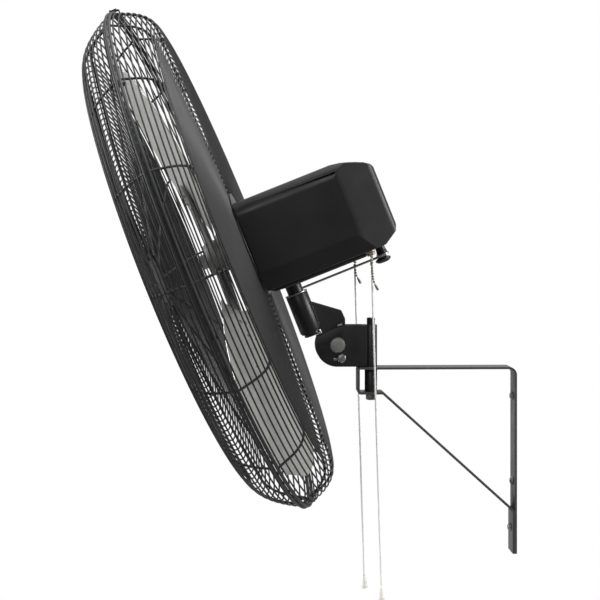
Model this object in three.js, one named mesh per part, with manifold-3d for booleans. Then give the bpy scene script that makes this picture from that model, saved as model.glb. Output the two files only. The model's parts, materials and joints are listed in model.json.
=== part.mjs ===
// Wall mounted oscillating fan: a wire guard cage with three paddle blades, an induction motor and
// oscillation gear in a black housing, a tilting and swivelling mount, and a bent strap wall bracket.
//
// Millimetres, +Z up. The origin is the middle of the bracket's wall leg, on the wall. The wall is
// the plane Y = 0, and the fan stands out from it towards -Y.
import * as THREE from "three";
import { mergeVertices } from "three/addons/utils/BufferGeometryUtils.js";
import Module from "manifold-3d";

const wasm = await Module();
wasm.setup();

// ---------------------------------------------------------------- driving dimensions
const GAP = 0.3; // between pieces that touch

// wall bracket, one strap bent to a closed loop
const STRAP_WIDTH = 40;
const STRAP_THICK = 3.2;
const LEG_TOP = 140.3; // top face of the upper arm
const LEG_BOTTOM = -143;
const ARM_REACH = 242; // wall to the front of the loop
const LOOP_OPENING = 34.4; // clear height inside the loop, between the arm and the ledge
const LEDGE_LENGTH = 39; // front of the loop to the bend into the brace
const BRACE_FOOT = -78; // where the brace meets the leg
const LEG_CORNER_RADIUS = 12;
const LOOP_CORNER_RADIUS = 5;
const WALL_SCREW_HEIGHTS = { top: 94.7, middle: -35, bottom: -105.8 };
const WALL_SCREW_HEAD_RADIUS = 6;
const WALL_SCREW_HEAD_HEIGHT = 4.5;
const WALL_SCREW_SHANK_RADIUS = 3;

// post that the fan swivels on
const POST_SETBACK = 21.5; // front of the loop to the post's axis
const POST_REACH = ARM_REACH - POST_SETBACK; // wall to the post's axis
const POST_BOLT_RADIUS = 6.3;
const POST_TUBE_RADIUS = 9.5;
const POST_TUBE_TOP = 204;
const POST_BOLT_PROUD = 10.6; // bolt above the tube
const POST_NUT_RADIUS = 7.8;
const POST_NUT_HEIGHT = 8.8;

// tilt hinge
const TILT_DEGREES = 21.8; // nose down, as photographed
const HINGE_AHEAD = 52.1; // post's axis to the tilt axis
const HINGE_REACH = POST_REACH + HINGE_AHEAD;
const HINGE_HEIGHT = 174;
const CLEVIS_RADIUS = 33;
const CLEVIS_PLATE = 4;
const CLEVIS_TOP = 30; // above the hinge
const CLEVIS_REAR_OVERLAP = 3; // of the clevis plates past the front of the post tube
const EAR_RADIUS = 32;
const FORK_HALF_WIDTH = 9.5; // outside of the tilt arm's ears
const EAR_THICK = 4;
const HINGE_BOLT_RADIUS = 6;
const HINGE_HEAD_RADIUS = 12;
const HINGE_HEAD_HEIGHT = 6.5;
const LOCK_RADIUS = 21.2; // hinge axis to lock screw
const LOCK_SHANK_RADIUS = 2.8;
const LOCK_HEAD_RADIUS = 5.8;
const LOCK_HEAD_HEIGHT = 4.5;
const TILT_UP_DEGREES = 21.8; // travel to level
const TILT_DOWN_DEGREES = 3.2;
const LOCK_ANGLE = -71.7; // of the lock screw about the hinge, from +Y, as photographed

// neck that the head oscillates on, in the head's frame: y to the rear of the guard's joint
const NECK_REAR = 98;
const NECK_RADIUS = 12.4;
const SLEEVE_RADIUS = 17;
const SLEEVE_TOP = -97.7;
const SLEEVE_LENGTH = 60;
const SLEEVE_WASHER = 2;
const HEAD_YAW_DEGREES = -4.2; // as photographed, within the sweep of 45 degrees each way

// guard
const RIM_AHEAD = 188.4; // tilt axis to the guard's joint
const RIM_FROM_WALL = HINGE_REACH + RIM_AHEAD;
const RIM_HEIGHT = 304.4;
const GUARD_RADIUS = 400;
const RIM_WIRE_RADIUS = 2.9;
const WIRE_RADIUS = 1.5;
const RIB_COUNT = 16;
const RIB_PHASE_DEGREES = 2;
const RIB_STEPS = 8; // straight lengths that make up a rib
const FIRST_RING_RADIUS = 50;
const SHOULDER_INSET = 65; // guard's outside to where the dome turns down to the rim
const SHOULDER_RADIUS = GUARD_RADIUS - SHOULDER_INSET;
const FRONT_GUARD = { centre: 88, shoulder: 60, power: 2.2, rings: [0, 2, 4, 6] };
const REAR_GUARD = { centre: 56.9, shoulder: 53.3, power: 2.7, rings: [0, 3, 6] };
const MOUNT_RING_RADIUS = 82;
const BADGE_RADIUS = 54;
const BADGE_THICK = 1.6;

// fan
const BLADE_ANGLES = [40, 160, 280]; // from the top towards +X
const TIP_CLEARANCE = 43; // guard's outside to the paddles' tips
const BLADE_TIP_RADIUS = GUARD_RADIUS - TIP_CLEARANCE;
const BLADE_ROOT_RADIUS = 92;
const BLADE_CHORD = 196;
const BLADE_ROOT_CHORD = 96;
const BLADE_WIDEST = 0.62; // share of the blade's length from its root
const BLADE_TIP_START = 0.78; // where the round tip starts
const BLADE_TIP_BLUNT = 1.015; // where the tip's curve would close
const BLADE_THICK = 2;
const BLADE_PITCH = 17;
const BLADE_CAMBER = 0.035; // of the chord
const SPIDER_REACH = 150;
const SPIDER_WIDTH = 34;
const SPIDER_THICK = 4;
const FAN_PLANE = 6; // the spider's plane, behind the guard's joint
const HUB_RADIUS = 26;
const HUB_FRONT = -10;
const HUB_REAR = 30;
const SHAFT_RADIUS = 7.5;
const SHAFT_TAIL_RADIUS = 4;

// motor
const MOTOR_RADIUS = 57;
const STATOR_BORE = 35.2;
const STATOR_FRONT = 84;
const STATOR_LENGTH = 66;
const BEARING_RADIUS = 16;
const BEARING_WIDTH = 12;
const BELL_BOSS_RADIUS = 50;
const BELL_RIM = 7;

// housing
const HOUSING_FRONT = 62;
const HOUSING_REAR = 277;
const HOUSING_TOP = 65.4;
const HOUSING_FLOOR = -74.5;
const HOUSING_HALF_WIDTH = 71;
const HOUSING_WALL = 2.5;
const BASE_HALF_WIDTH = 47;
const BASE_REAR = 221;
const BASE_DEPTH = 6.6;

// oscillation gear, with its crank under the housing
const CRANK_REAR = 242;
const WORM_RADIUS = 6.5;
const WORM_LENGTH = 24;
const WHEEL_RADIUS = 13.5;
const WHEEL_THICK = 8;
const WHEEL_TEETH = 28;
const CRANK_SHAFT_RADIUS = 4;
const CRANK_BOSS_BOTTOM = -89;
const CRANK_RADIUS = 17; // crank axis to crank pin
const CRANK_PIN_RADIUS = 2;
const CRANK_PLATE = 2;
const CRANK_RATIO = -1.5; // crank turn for each turn of the head on its neck
const LUG_RADIUS = 24; // neck axis to the rod's fixed pivot
const ROD_RADIUS = 1.8;
const ROD_EYE_THICK = 3;
const ROD_SLOT_HALF_WIDTH = 6.4; // play that stands in for the rod's real double swing
const ROD_SLOT_HALF_LENGTH = 4;
const KNOB_RADIUS = 12.5;
const KNOB_HEIGHT = 8.6;

// pull chains and cords
const PULLS = {
  near: { side: 56, rear: 226, tail: 52, cord: 480 },
  far: { side: -56, rear: 200, tail: 40, cord: 484 },
};
const NOZZLE_RADIUS = 6.5;
const NOZZLE_BORE = 4.6;
const NOZZLE_LENGTH = 7;
const PULL_BALL_RADIUS = 2;
const PLUNGER_RADIUS = 1;
const SWITCH_SIZE = 11;
const SWITCH_HEIGHT = 20;
const CHAIN_RADIUS = 1.7;
const CHAIN_END_LENGTH = 8;
const CORD_RADIUS = 1.4;
const CORD_LEAN_DEGREES = 1.7; // of the hanging cords, away from the fan, as photographed
const BELL_RADIUS = 5.5;
const BELL_HEIGHT = 19;

const ROUND = 20; // sides of a large round piece
const SMALL_ROUND = 12;

// ---------------------------------------------------------------- finishes
const finish = (color, roughness, metalness) => ({ color, roughness, metalness });
const BLACK_PAINT = finish(0x1d1d1f, 0.42, 0);
const GUARD_WIRE = finish(0x303032, 0.4, 0.3);
const STRAP_PAINT = finish(0x5d5d5f, 0.5, 0.2);
const ZINC = finish(0x9a9a98, 0.35, 1);
const BOLT_GREY = finish(0x6b6b69, 0.5, 0.8);
const ALUMINIUM = finish(0xc0c0bd, 0.35, 0.9);
const CAST_ALUMINIUM = finish(0x8e8e8c, 0.6, 0.8);
const STEEL = finish(0x77787a, 0.4, 1);
const BRASS = finish(0xb5a98f, 0.35, 1);
const WHITE_CORD = finish(0xe8e8e6, 0.8, 0);
const WHITE_PLASTIC = finish(0xe4e2dc, 0.5, 0);
const BLACK_PLASTIC = finish(0x232325, 0.5, 0);
const COPPER_WOUND = finish(0x8a5a33, 0.5, 0.4);

// ---------------------------------------------------------------- shape helpers
const radians = THREE.MathUtils.degToRad;

/** A geometry as one closed body: welded, without slivers, with its faces pointing out. */
function closedBody(geometry) {
  const bare = geometry.clone();
  bare.deleteAttribute("normal");
  bare.deleteAttribute("uv");
  const welded = mergeVertices(bare, 1e-4);
  const position = welded.attributes.position;
  const index = welded.index.array;
  const faces = [];
  const [a, b, c] = [new THREE.Vector3(), new THREE.Vector3(), new THREE.Vector3()];
  let volume = 0;
  for (let i = 0; i < index.length; i += 3) {
    const [p, q, r] = [index[i], index[i + 1], index[i + 2]];
    if (p === q || q === r || r === p) continue;
    a.fromBufferAttribute(position, p);
    b.fromBufferAttribute(position, q);
    c.fromBufferAttribute(position, r);
    volume += a.dot(b.cross(c));
    faces.push(p, q, r);
  }
  if (volume < 0) {
    for (let i = 0; i < faces.length; i += 3) {
      [faces[i], faces[i + 1]] = [faces[i + 1], faces[i]];
    }
  }
  const body = new THREE.BufferGeometry();
  body.setAttribute("position", position);
  body.setIndex(faces);
  return body;
}

function toManifold(geometry) {
  const body = closedBody(geometry);
  return new wasm.Manifold(
    new wasm.Mesh({
      numProp: 3,
      vertProperties: new Float32Array(body.attributes.position.array),
      triVerts: new Uint32Array(body.index.array),
    }),
  );
}

function fromManifold(manifold) {
  const mesh = manifold.getMesh();
  const geometry = new THREE.BufferGeometry();
  geometry.setAttribute("position", new THREE.BufferAttribute(mesh.vertProperties, 3));
  geometry.setIndex(new THREE.BufferAttribute(mesh.triVerts, 1));
  return geometry;
}

const cut = (geometry, ...tools) =>
  fromManifold(tools.reduce((solid, tool) => solid.subtract(toManifold(tool)), toManifold(geometry)));
const join = (...geometries) =>
  fromManifold(geometries.map(toManifold).reduce((whole, piece) => whole.add(piece)));
const common = (...geometries) =>
  fromManifold(geometries.map(toManifold).reduce((whole, piece) => whole.intersect(piece)));

/** A box between two corners. */
function block(low, high) {
  const size = high.map((value, i) => value - low[i]);
  const middle = high.map((value, i) => (value + low[i]) / 2);
  return new THREE.BoxGeometry(...size).translate(...middle);
}

/** A solid of revolution about Y, from [radius, y] points; a ring's profile closes on itself. */
function turned(profile, sides = ROUND) {
  const points = profile.map(([radius, y]) => new THREE.Vector2(radius, y));
  if (profile[0][0] > 0) points.push(points[0].clone());
  return new THREE.LatheGeometry(points, sides);
}

const upright = (geometry) => geometry.rotateX(Math.PI / 2); // its Y axis becomes Z
const sideways = (geometry) => geometry.rotateZ(-Math.PI / 2); // its Y axis becomes X

const rod = (radius, from, to, sides = SMALL_ROUND) =>
  turned([[0, from], [radius, from], [radius, to], [0, to]], sides);
const tube = (bore, radius, from, to, sides = ROUND) =>
  turned([[bore, from], [radius, from], [radius, to], [bore, to]], sides);

/** A hexagonal nut, measured to its corners, with a round bore. */
const hexNut = (bore, corner, from, to) => cut(rod(corner, from, to, 6), rod(bore, from - 1, to + 1));

/** Turns a shape drawn in (first, second) and extruded along the third axis into place. */
const AXES = {
  yz: [new THREE.Vector3(0, 1, 0), new THREE.Vector3(0, 0, 1), new THREE.Vector3(1, 0, 0)],
  xy: [new THREE.Vector3(1, 0, 0), new THREE.Vector3(0, 1, 0), new THREE.Vector3(0, 0, 1)],
  zx: [new THREE.Vector3(0, 0, 1), new THREE.Vector3(1, 0, 0), new THREE.Vector3(0, 1, 0)],
};

/** A prism: an outline in one of the planes of AXES, from one height to another across it. */
function prism(outline, plane, from, to, curveSegments = 6) {
  const shape = outline instanceof THREE.Shape ? outline : polygon(outline);
  const geometry = new THREE.ExtrudeGeometry(shape, { depth: to - from, bevelEnabled: false, curveSegments });
  geometry.translate(0, 0, from);
  return geometry.applyMatrix4(new THREE.Matrix4().makeBasis(...AXES[plane]));
}

const polygon = (points) => new THREE.Shape(points.map(([x, y]) => new THREE.Vector2(x, y)));

/** A convex outline drawn in by a wall's thickness all round. */
function inset(points, wall) {
  const turn = points.reduce((sum, [x, y], i) => {
    const [nextX, nextY] = points[(i + 1) % points.length];
    return sum + x * nextY - nextX * y;
  }, 0);
  const side = Math.sign(turn);
  const edges = points.map(([x, y], i) => {
    const [nextX, nextY] = points[(i + 1) % points.length];
    const length = Math.hypot(nextX - x, nextY - y);
    const normal = [(-side * (nextY - y)) / length, (side * (nextX - x)) / length];
    return { normal, level: normal[0] * x + normal[1] * y + wall };
  });
  return edges.map((edge, i) => {
    const before = edges[(i + edges.length - 1) % edges.length];
    const det = before.normal[0] * edge.normal[1] - before.normal[1] * edge.normal[0];
    return [
      (before.level * edge.normal[1] - edge.level * before.normal[1]) / det,
      (edge.level * before.normal[0] - before.level * edge.normal[0]) / det,
    ];
  });
}

/** An outline with round ends about two points, wider at the first. */
function roundEnded(start, startRadius, end, endRadius) {
  const along = Math.atan2(end[1] - start[1], end[0] - start[0]);
  const shape = new THREE.Shape();
  shape.absarc(start[0], start[1], startRadius, along + Math.PI / 2, along + (3 * Math.PI) / 2);
  shape.absarc(end[0], end[1], endRadius, along - Math.PI / 2, along + Math.PI / 2);
  shape.closePath();
  return shape;
}

/** A round bar along a curve. */
function bar(curve, radius, steps, sides = 8) {
  const section = new THREE.Shape();
  for (let i = 0; i < sides; i++) {
    const angle = (2 * Math.PI * (i + 0.5)) / sides;
    const point = [radius * Math.cos(angle), radius * Math.sin(angle)];
    if (i === 0) section.moveTo(...point);
    else section.lineTo(...point);
  }
  section.closePath();
  return new THREE.ExtrudeGeometry(section, { extrudePath: curve, steps, bevelEnabled: false });
}

const part = new THREE.Group();

function add(parent, name, geometry, look) {
  const mesh = new THREE.Mesh(closedBody(geometry), new THREE.MeshStandardMaterial(look));
  mesh.name = name;
  parent.add(mesh);
}

// ---------------------------------------------------------------- wall bracket
const LEG_INNER = -STRAP_THICK;
const ARM_UNDERSIDE = LEG_TOP - STRAP_THICK;
const LEDGE_TOP = ARM_UNDERSIDE - LOOP_OPENING;
const LEDGE_UNDERSIDE = LEDGE_TOP - STRAP_THICK;
const BRACE_BEND = -ARM_REACH + LEDGE_LENGTH;
const BRACE_ANGLE = Math.atan2(LEDGE_TOP - BRACE_FOOT, LEG_INNER - BRACE_BEND);

function wallBracket() {
  // lower face of the brace, a strap's thickness from its upper face
  const drop = STRAP_THICK / Math.cos(BRACE_ANGLE);
  const lowerFace = (y) => LEDGE_TOP - (y - BRACE_BEND) * Math.tan(BRACE_ANGLE) - drop;
  const lowerBend = BRACE_BEND + (LEDGE_TOP - drop - LEDGE_UNDERSIDE) / Math.tan(BRACE_ANGLE);
  const tailFace = 2 * LEG_INNER;

  const outline = new THREE.Shape();
  outline.moveTo(0, LEG_BOTTOM);
  outline.lineTo(0, LEG_TOP - LEG_CORNER_RADIUS);
  outline.absarc(-LEG_CORNER_RADIUS, LEG_TOP - LEG_CORNER_RADIUS, LEG_CORNER_RADIUS, 0, Math.PI / 2);
  const loopTurn = -ARM_REACH + LOOP_CORNER_RADIUS;
  outline.absarc(loopTurn, LEG_TOP - LOOP_CORNER_RADIUS, LOOP_CORNER_RADIUS, Math.PI / 2, Math.PI);
  outline.absarc(loopTurn, LEDGE_UNDERSIDE + LOOP_CORNER_RADIUS, LOOP_CORNER_RADIUS, Math.PI, 1.5 * Math.PI);
  outline.lineTo(lowerBend, LEDGE_UNDERSIDE);
  outline.lineTo(tailFace, lowerFace(tailFace));
  outline.lineTo(tailFace, LEG_BOTTOM);
  outline.closePath();

  const innerCorner = LEG_CORNER_RADIUS - STRAP_THICK;
  const opening = new THREE.Path();
  opening.moveTo(LEG_INNER, BRACE_FOOT);
  opening.lineTo(LEG_INNER, ARM_UNDERSIDE - innerCorner);
  opening.absarc(LEG_INNER - innerCorner, ARM_UNDERSIDE - innerCorner, innerCorner, 0, Math.PI / 2);
  opening.lineTo(-ARM_REACH + STRAP_THICK, ARM_UNDERSIDE);
  opening.lineTo(-ARM_REACH + STRAP_THICK, LEDGE_TOP);
  opening.lineTo(BRACE_BEND, LEDGE_TOP);
  opening.closePath();
  outline.holes.push(opening);

  const strap = prism(outline, "yz", -STRAP_WIDTH / 2, STRAP_WIDTH / 2);
  const postHole = upright(rod(POST_BOLT_RADIUS + GAP, LEDGE_UNDERSIDE - 1, LEG_TOP + 1));
  const holes = [postHole.translate(0, -POST_REACH, 0)];
  for (const height of Object.values(WALL_SCREW_HEIGHTS)) {
    holes.push(rod(WALL_SCREW_SHANK_RADIUS + GAP, 2 * LEG_INNER - 1, 1).translate(0, 0, height));
  }
  return cut(strap, ...holes);
}

function wallScrew(height) {
  const seat = (height < BRACE_FOOT ? 2 : 1) * LEG_INNER - GAP;
  const crown = seat - WALL_SCREW_HEAD_HEIGHT;
  const screw = turned([
    [0, crown],
    [WALL_SCREW_HEAD_RADIUS * 0.6, crown],
    [WALL_SCREW_HEAD_RADIUS, seat - WALL_SCREW_HEAD_HEIGHT / 3],
    [WALL_SCREW_HEAD_RADIUS, seat],
    [WALL_SCREW_SHANK_RADIUS, seat],
    [WALL_SCREW_SHANK_RADIUS, -GAP],
    [0, -GAP],
  ], SMALL_ROUND);
  return screw.translate(0, 0, height);
}

add(part, "wall_bracket", wallBracket(), STRAP_PAINT);
for (const [place, height] of Object.entries(WALL_SCREW_HEIGHTS)) {
  add(part, `wall_screw_${place}`, wallScrew(height), BOLT_GREY);
}

// ---------------------------------------------------------------- post and clevis
const NUT_TOP = LEDGE_UNDERSIDE - GAP;
const NUT_BOTTOM = NUT_TOP - POST_NUT_HEIGHT;
const onPost = (geometry) => upright(geometry).translate(0, -POST_REACH, 0);

const POST_TOP = POST_TUBE_TOP + POST_BOLT_PROUD;
add(part, "post_bolt", onPost(rod(POST_BOLT_RADIUS, NUT_BOTTOM - 1, POST_TOP)), BLACK_PAINT);
add(part, "post_nut", onPost(hexNut(POST_BOLT_RADIUS + GAP, POST_NUT_RADIUS + 1, NUT_BOTTOM, NUT_TOP)), ZINC);
add(
  part,
  "post_spacer",
  onPost(tube(POST_BOLT_RADIUS + GAP, POST_TUBE_RADIUS, LEDGE_TOP + GAP, ARM_UNDERSIDE - GAP)),
  BLACK_PAINT,
);
add(
  part,
  "swivel_tube",
  onPost(tube(POST_BOLT_RADIUS + GAP, POST_TUBE_RADIUS, LEG_TOP + GAP, POST_TUBE_TOP)),
  BLACK_PAINT,
);

const hinge = [-HINGE_REACH, HINGE_HEIGHT]; // the tilt axis, in (y, z)
const CLEVIS_INNER = FORK_HALF_WIDTH + GAP;
const CLEVIS_OUTER = CLEVIS_INNER + CLEVIS_PLATE;

function clevis() {
  const tubeFront = -POST_REACH - POST_TUBE_RADIUS - GAP;
  const rear = tubeFront + CLEVIS_REAR_OVERLAP;
  const side = new THREE.Shape();
  side.moveTo(rear, hinge[1] - CLEVIS_RADIUS);
  side.lineTo(rear, hinge[1] + CLEVIS_TOP);
  side.lineTo(hinge[0] + 12, hinge[1] + CLEVIS_TOP);
  side.lineTo(hinge[0] - 12, hinge[1] + CLEVIS_TOP - 8);
  side.absarc(hinge[0], hinge[1], CLEVIS_RADIUS, radians(160), radians(270));
  side.closePath();
  const webFront = tubeFront - CLEVIS_PLATE;
  const solid = prism(side, "yz", -CLEVIS_OUTER, CLEVIS_OUTER, 10);
  const far = hinge[1] + CLEVIS_TOP + 1;
  const mouth = block([-CLEVIS_INNER, hinge[0] - CLEVIS_RADIUS - 1, 0], [CLEVIS_INNER, webFront, far]);
  const tubeRoom = block([-CLEVIS_INNER, tubeFront, 0], [CLEVIS_INNER, rear + 1, far]);
  const boltHole = sideways(rod(HINGE_BOLT_RADIUS + GAP, -CLEVIS_OUTER - 1, CLEVIS_OUTER + 1));
  boltHole.translate(0, ...hinge);

  // the lock screw's slot, in the near plate only
  const slot = new THREE.Shape();
  const half = LOCK_SHANK_RADIUS + 2 * GAP;
  const ends = [LOCK_ANGLE - TILT_UP_DEGREES - 2, LOCK_ANGLE + TILT_DOWN_DEGREES + 2].map(radians);
  const at = (angle) => [hinge[0] + LOCK_RADIUS * Math.cos(angle), hinge[1] + LOCK_RADIUS * Math.sin(angle)];
  slot.absarc(...hinge, LOCK_RADIUS + half, ends[0], ends[1]);
  slot.absarc(...at(ends[1]), half, ends[1], ends[1] + Math.PI);
  slot.absarc(...hinge, LOCK_RADIUS - half, ends[1], ends[0], true);
  slot.absarc(...at(ends[0]), half, ends[0] + Math.PI, ends[0] + 2 * Math.PI);
  return cut(solid, mouth, tubeRoom, boltHole, prism(slot, "yz", 0, CLEVIS_OUTER + 1));
}

add(part, "tilt_clevis", clevis(), BLACK_PAINT);
const onHinge = (geometry) => sideways(geometry).translate(0, ...hinge);
const HEAD_SEAT = CLEVIS_OUTER + GAP;
add(
  part,
  "tilt_bolt",
  onHinge(turned([
    [0, -HEAD_SEAT - HINGE_HEAD_HEIGHT - 3],
    [HINGE_BOLT_RADIUS, -HEAD_SEAT - HINGE_HEAD_HEIGHT - 3],
    [HINGE_BOLT_RADIUS, HEAD_SEAT],
    [HINGE_HEAD_RADIUS, HEAD_SEAT],
    [HINGE_HEAD_RADIUS, HEAD_SEAT + 2],
    [HINGE_HEAD_RADIUS - 2, HEAD_SEAT + HINGE_HEAD_HEIGHT],
    [0, HEAD_SEAT + HINGE_HEAD_HEIGHT],
  ])),
  BOLT_GREY,
);
add(
  part,
  "tilt_nut",
  onHinge(hexNut(HINGE_BOLT_RADIUS + GAP, 11, -HEAD_SEAT - HINGE_HEAD_HEIGHT, -HEAD_SEAT)),
  BOLT_GREY,
);

// ---------------------------------------------------------------- the tilting part, in its own frame
// Its origin is the middle of the guard's joint, with y to the rear along the level fan's axis.
const tilted = new THREE.Group();
tilted.position.set(0, -RIM_FROM_WALL, RIM_HEIGHT);
tilted.rotation.x = radians(TILT_DEGREES);
part.add(tilted);

/** A point of the wall's frame, in (y, z), as the tilted frame has it. */
function inTilted([y, z]) {
  const [rear, up] = [y + RIM_FROM_WALL, z - RIM_HEIGHT];
  const angle = radians(TILT_DEGREES);
  return [rear * Math.cos(angle) + up * Math.sin(angle), up * Math.cos(angle) - rear * Math.sin(angle)];
}

const pivot = inTilted(hinge);
const SLEEVE_BOTTOM = SLEEVE_TOP - SLEEVE_LENGTH;
const GUSSET_BOTTOM = SLEEVE_BOTTOM - 8;
const onNeck = (geometry) => upright(geometry).translate(0, NECK_REAR, 0);

function tiltArm() {
  const gussetTop = SLEEVE_TOP - 16;
  const gussetRear = pivot[0] + 25.5;
  const outline = [
    [NECK_REAR + 4, gussetTop + 3],
    [NECK_REAR + SLEEVE_RADIUS - 3, gussetTop],
    [gussetRear, gussetTop - 31.5],
    [gussetRear + 0.6, gussetTop - 45],
    [gussetRear - 2, GUSSET_BOTTOM],
    [pivot[0] + EAR_RADIUS * Math.cos(radians(48)), pivot[1] + EAR_RADIUS * Math.sin(radians(48))],
  ];
  for (let angle = 30; angle > -200; angle -= 18) {
    outline.push([
      pivot[0] + EAR_RADIUS * Math.cos(radians(angle)),
      pivot[1] + EAR_RADIUS * Math.sin(radians(angle)),
    ]);
  }
  outline.push([NECK_REAR + 5, GUSSET_BOTTOM]);
  const fork = FORK_HALF_WIDTH - EAR_THICK;
  const channel = [
    [NECK_REAR, gussetTop - 7],
    [gussetRear - EAR_THICK, gussetTop - 34],
    [gussetRear - EAR_THICK, GUSSET_BOTTOM - 2],
    [pivot[0] + 2 * EAR_RADIUS, GUSSET_BOTTOM - 2],
    [pivot[0] + 2 * EAR_RADIUS, pivot[1] - 2 * EAR_RADIUS],
    [NECK_REAR - EAR_RADIUS, pivot[1] - 2 * EAR_RADIUS],
  ];
  const lock = radians(LOCK_ANGLE - TILT_DEGREES);
  const lockHole = sideways(rod(LOCK_SHANK_RADIUS + GAP, 0, FORK_HALF_WIDTH + 1));
  lockHole.translate(0, pivot[0] + LOCK_RADIUS * Math.cos(lock), pivot[1] + LOCK_RADIUS * Math.sin(lock));
  const boltHole = sideways(rod(HINGE_BOLT_RADIUS + GAP, -CLEVIS_OUTER, CLEVIS_OUTER));
  return cut(
    prism(outline, "yz", -FORK_HALF_WIDTH, FORK_HALF_WIDTH),
    prism(channel, "yz", -fork, fork),
    onNeck(rod(SLEEVE_RADIUS + GAP, GUSSET_BOTTOM - 1, 0, ROUND)),
    boltHole.translate(0, ...pivot),
    lockHole,
  );
}

function lockScrew() {
  const lock = radians(LOCK_ANGLE - TILT_DEGREES);
  const screw = sideways(turned([
    [0, FORK_HALF_WIDTH - EAR_THICK - 2],
    [LOCK_SHANK_RADIUS, FORK_HALF_WIDTH - EAR_THICK - 2],
    [LOCK_SHANK_RADIUS, HEAD_SEAT],
    [LOCK_HEAD_RADIUS, HEAD_SEAT],
    [LOCK_HEAD_RADIUS, HEAD_SEAT + LOCK_HEAD_HEIGHT - 1],
    [LOCK_HEAD_RADIUS - 1, HEAD_SEAT + LOCK_HEAD_HEIGHT],
    [0, HEAD_SEAT + LOCK_HEAD_HEIGHT],
  ], SMALL_ROUND));
  return screw.translate(0, pivot[0] + LOCK_RADIUS * Math.cos(lock), pivot[1] + LOCK_RADIUS * Math.sin(lock));
}

const WASHER_TOP = SLEEVE_TOP + GAP + SLEEVE_WASHER;
const LUG_TOP = SLEEVE_TOP + 0.1;
const ROD_MIDDLE = CRANK_BOSS_BOTTOM - 2 * GAP - CRANK_PLATE - ROD_EYE_THICK / 2;
const ROD_TOP = ROD_MIDDLE + ROD_EYE_THICK / 2;
const ROD_BOTTOM = ROD_MIDDLE - ROD_EYE_THICK / 2;

/** Bracket on the far side of the sleeve's top, with the pin that the link rod turns on. */
function linkLug() {
  const plate = roundEnded([-LUG_RADIUS, NECK_REAR], 5, [-SLEEVE_RADIUS + 3, NECK_REAR], 7);
  const bracket = cut(
    prism(plate, "xy", LUG_TOP - 6, LUG_TOP),
    onNeck(rod(SLEEVE_RADIUS + GAP, LUG_TOP - 7, LUG_TOP + 1, ROUND)),
  );
  const shoulder = upright(rod(3.4, LUG_TOP - 3, ROD_BOTTOM - GAP)).translate(-LUG_RADIUS, NECK_REAR, 0);
  const pin = upright(rod(CRANK_PIN_RADIUS, LUG_TOP - 3, ROD_TOP + 1)).translate(-LUG_RADIUS, NECK_REAR, 0);
  return join(bracket, shoulder, pin);
}

add(tilted, "tilt_arm", tiltArm(), BLACK_PAINT);
const sleeve = tube(NECK_RADIUS + GAP, SLEEVE_RADIUS, SLEEVE_BOTTOM, SLEEVE_TOP);
const washer = tube(NECK_RADIUS + GAP, SLEEVE_RADIUS + 0.6, SLEEVE_TOP + GAP, WASHER_TOP);
add(tilted, "neck_sleeve", onNeck(sleeve), BLACK_PAINT);
add(tilted, "sleeve_washer", onNeck(washer), ZINC);
add(tilted, "lock_screw", lockScrew(), ZINC);
add(tilted, "link_lug", linkLug(), BLACK_PAINT);

// ---------------------------------------------------------------- the head, turned on its neck
const neck = new THREE.Group();
neck.position.y = NECK_REAR;
neck.rotation.z = radians(HEAD_YAW_DEGREES);
tilted.add(neck);
const head = new THREE.Group();
head.position.y = -NECK_REAR;
neck.add(head);

// guard: y of the wires' middle at a radius, for a dome that turns down to the rim at its shoulder
function domeDepth(radius, { centre, shoulder, power }) {
  if (radius <= SHOULDER_RADIUS) return centre - (centre - shoulder) * (radius / SHOULDER_RADIUS) ** 2;
  const share = (radius - SHOULDER_RADIUS) / (GUARD_RADIUS - RIM_WIRE_RADIUS - SHOULDER_RADIUS);
  return shoulder * (1 - share ** power);
}

const RIM_OFFSET = RIM_WIRE_RADIUS + GAP / 2; // of each rim wire from the guard's joint
const RIM_RING_RADIUS = GUARD_RADIUS - RIM_WIRE_RADIUS;

function wireRing(radius, y, wire, sides, sections) {
  const profile = [];
  for (let i = 0; i < sections; i++) {
    const angle = (2 * Math.PI * (i + 0.5)) / sections;
    profile.push([radius + wire * Math.cos(angle), y + wire * Math.sin(angle)]);
  }
  return turned(profile, sides);
}

/** Half of the cage. Its side is -1 at the front and 1 at the rear. */
function guardHalf(side, guard) {
  const depthAt = (radius) => side * Math.max(domeDepth(radius, guard), RIM_OFFSET);
  const turnDown = [40, 22, 10].map((inset) => GUARD_RADIUS - inset);
  const stations = [FIRST_RING_RADIUS, 150, 250, SHOULDER_RADIUS, ...turnDown, RIM_RING_RADIUS];
  const at = (radius) => new THREE.Vector3(radius, depthAt(radius), 0);
  const route = new THREE.CatmullRomCurve3(stations.map(at));
  const ribs = [];
  for (let i = 0; i < RIB_COUNT; i++) {
    ribs.push(bar(route, WIRE_RADIUS * 1.2, RIB_STEPS, 4).rotateY((2 * Math.PI * i) / RIB_COUNT));
  }
  const rings = [wireRing(RIM_RING_RADIUS, side * RIM_OFFSET, RIM_WIRE_RADIUS, 3 * RIB_COUNT, 4)];
  const halfSide = Math.PI / (2 * RIB_COUNT);
  for (const step of guard.rings) {
    const crossing = route.getPointAt(step / RIB_STEPS);
    const ring = wireRing(crossing.x / Math.cos(halfSide), crossing.y, WIRE_RADIUS, 2 * RIB_COUNT, 4);
    rings.push(ring.rotateY(halfSide)); // the ribs cross the middles of its sides
  }
  const cage = join(...rings, ...ribs);
  return cage.rotateY(-Math.PI / 2 + radians(RIB_PHASE_DEGREES));
}

add(head, "guard_front", guardHalf(-1, FRONT_GUARD), GUARD_WIRE);
add(head, "guard_rear", guardHalf(1, REAR_GUARD), GUARD_WIRE);

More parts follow.
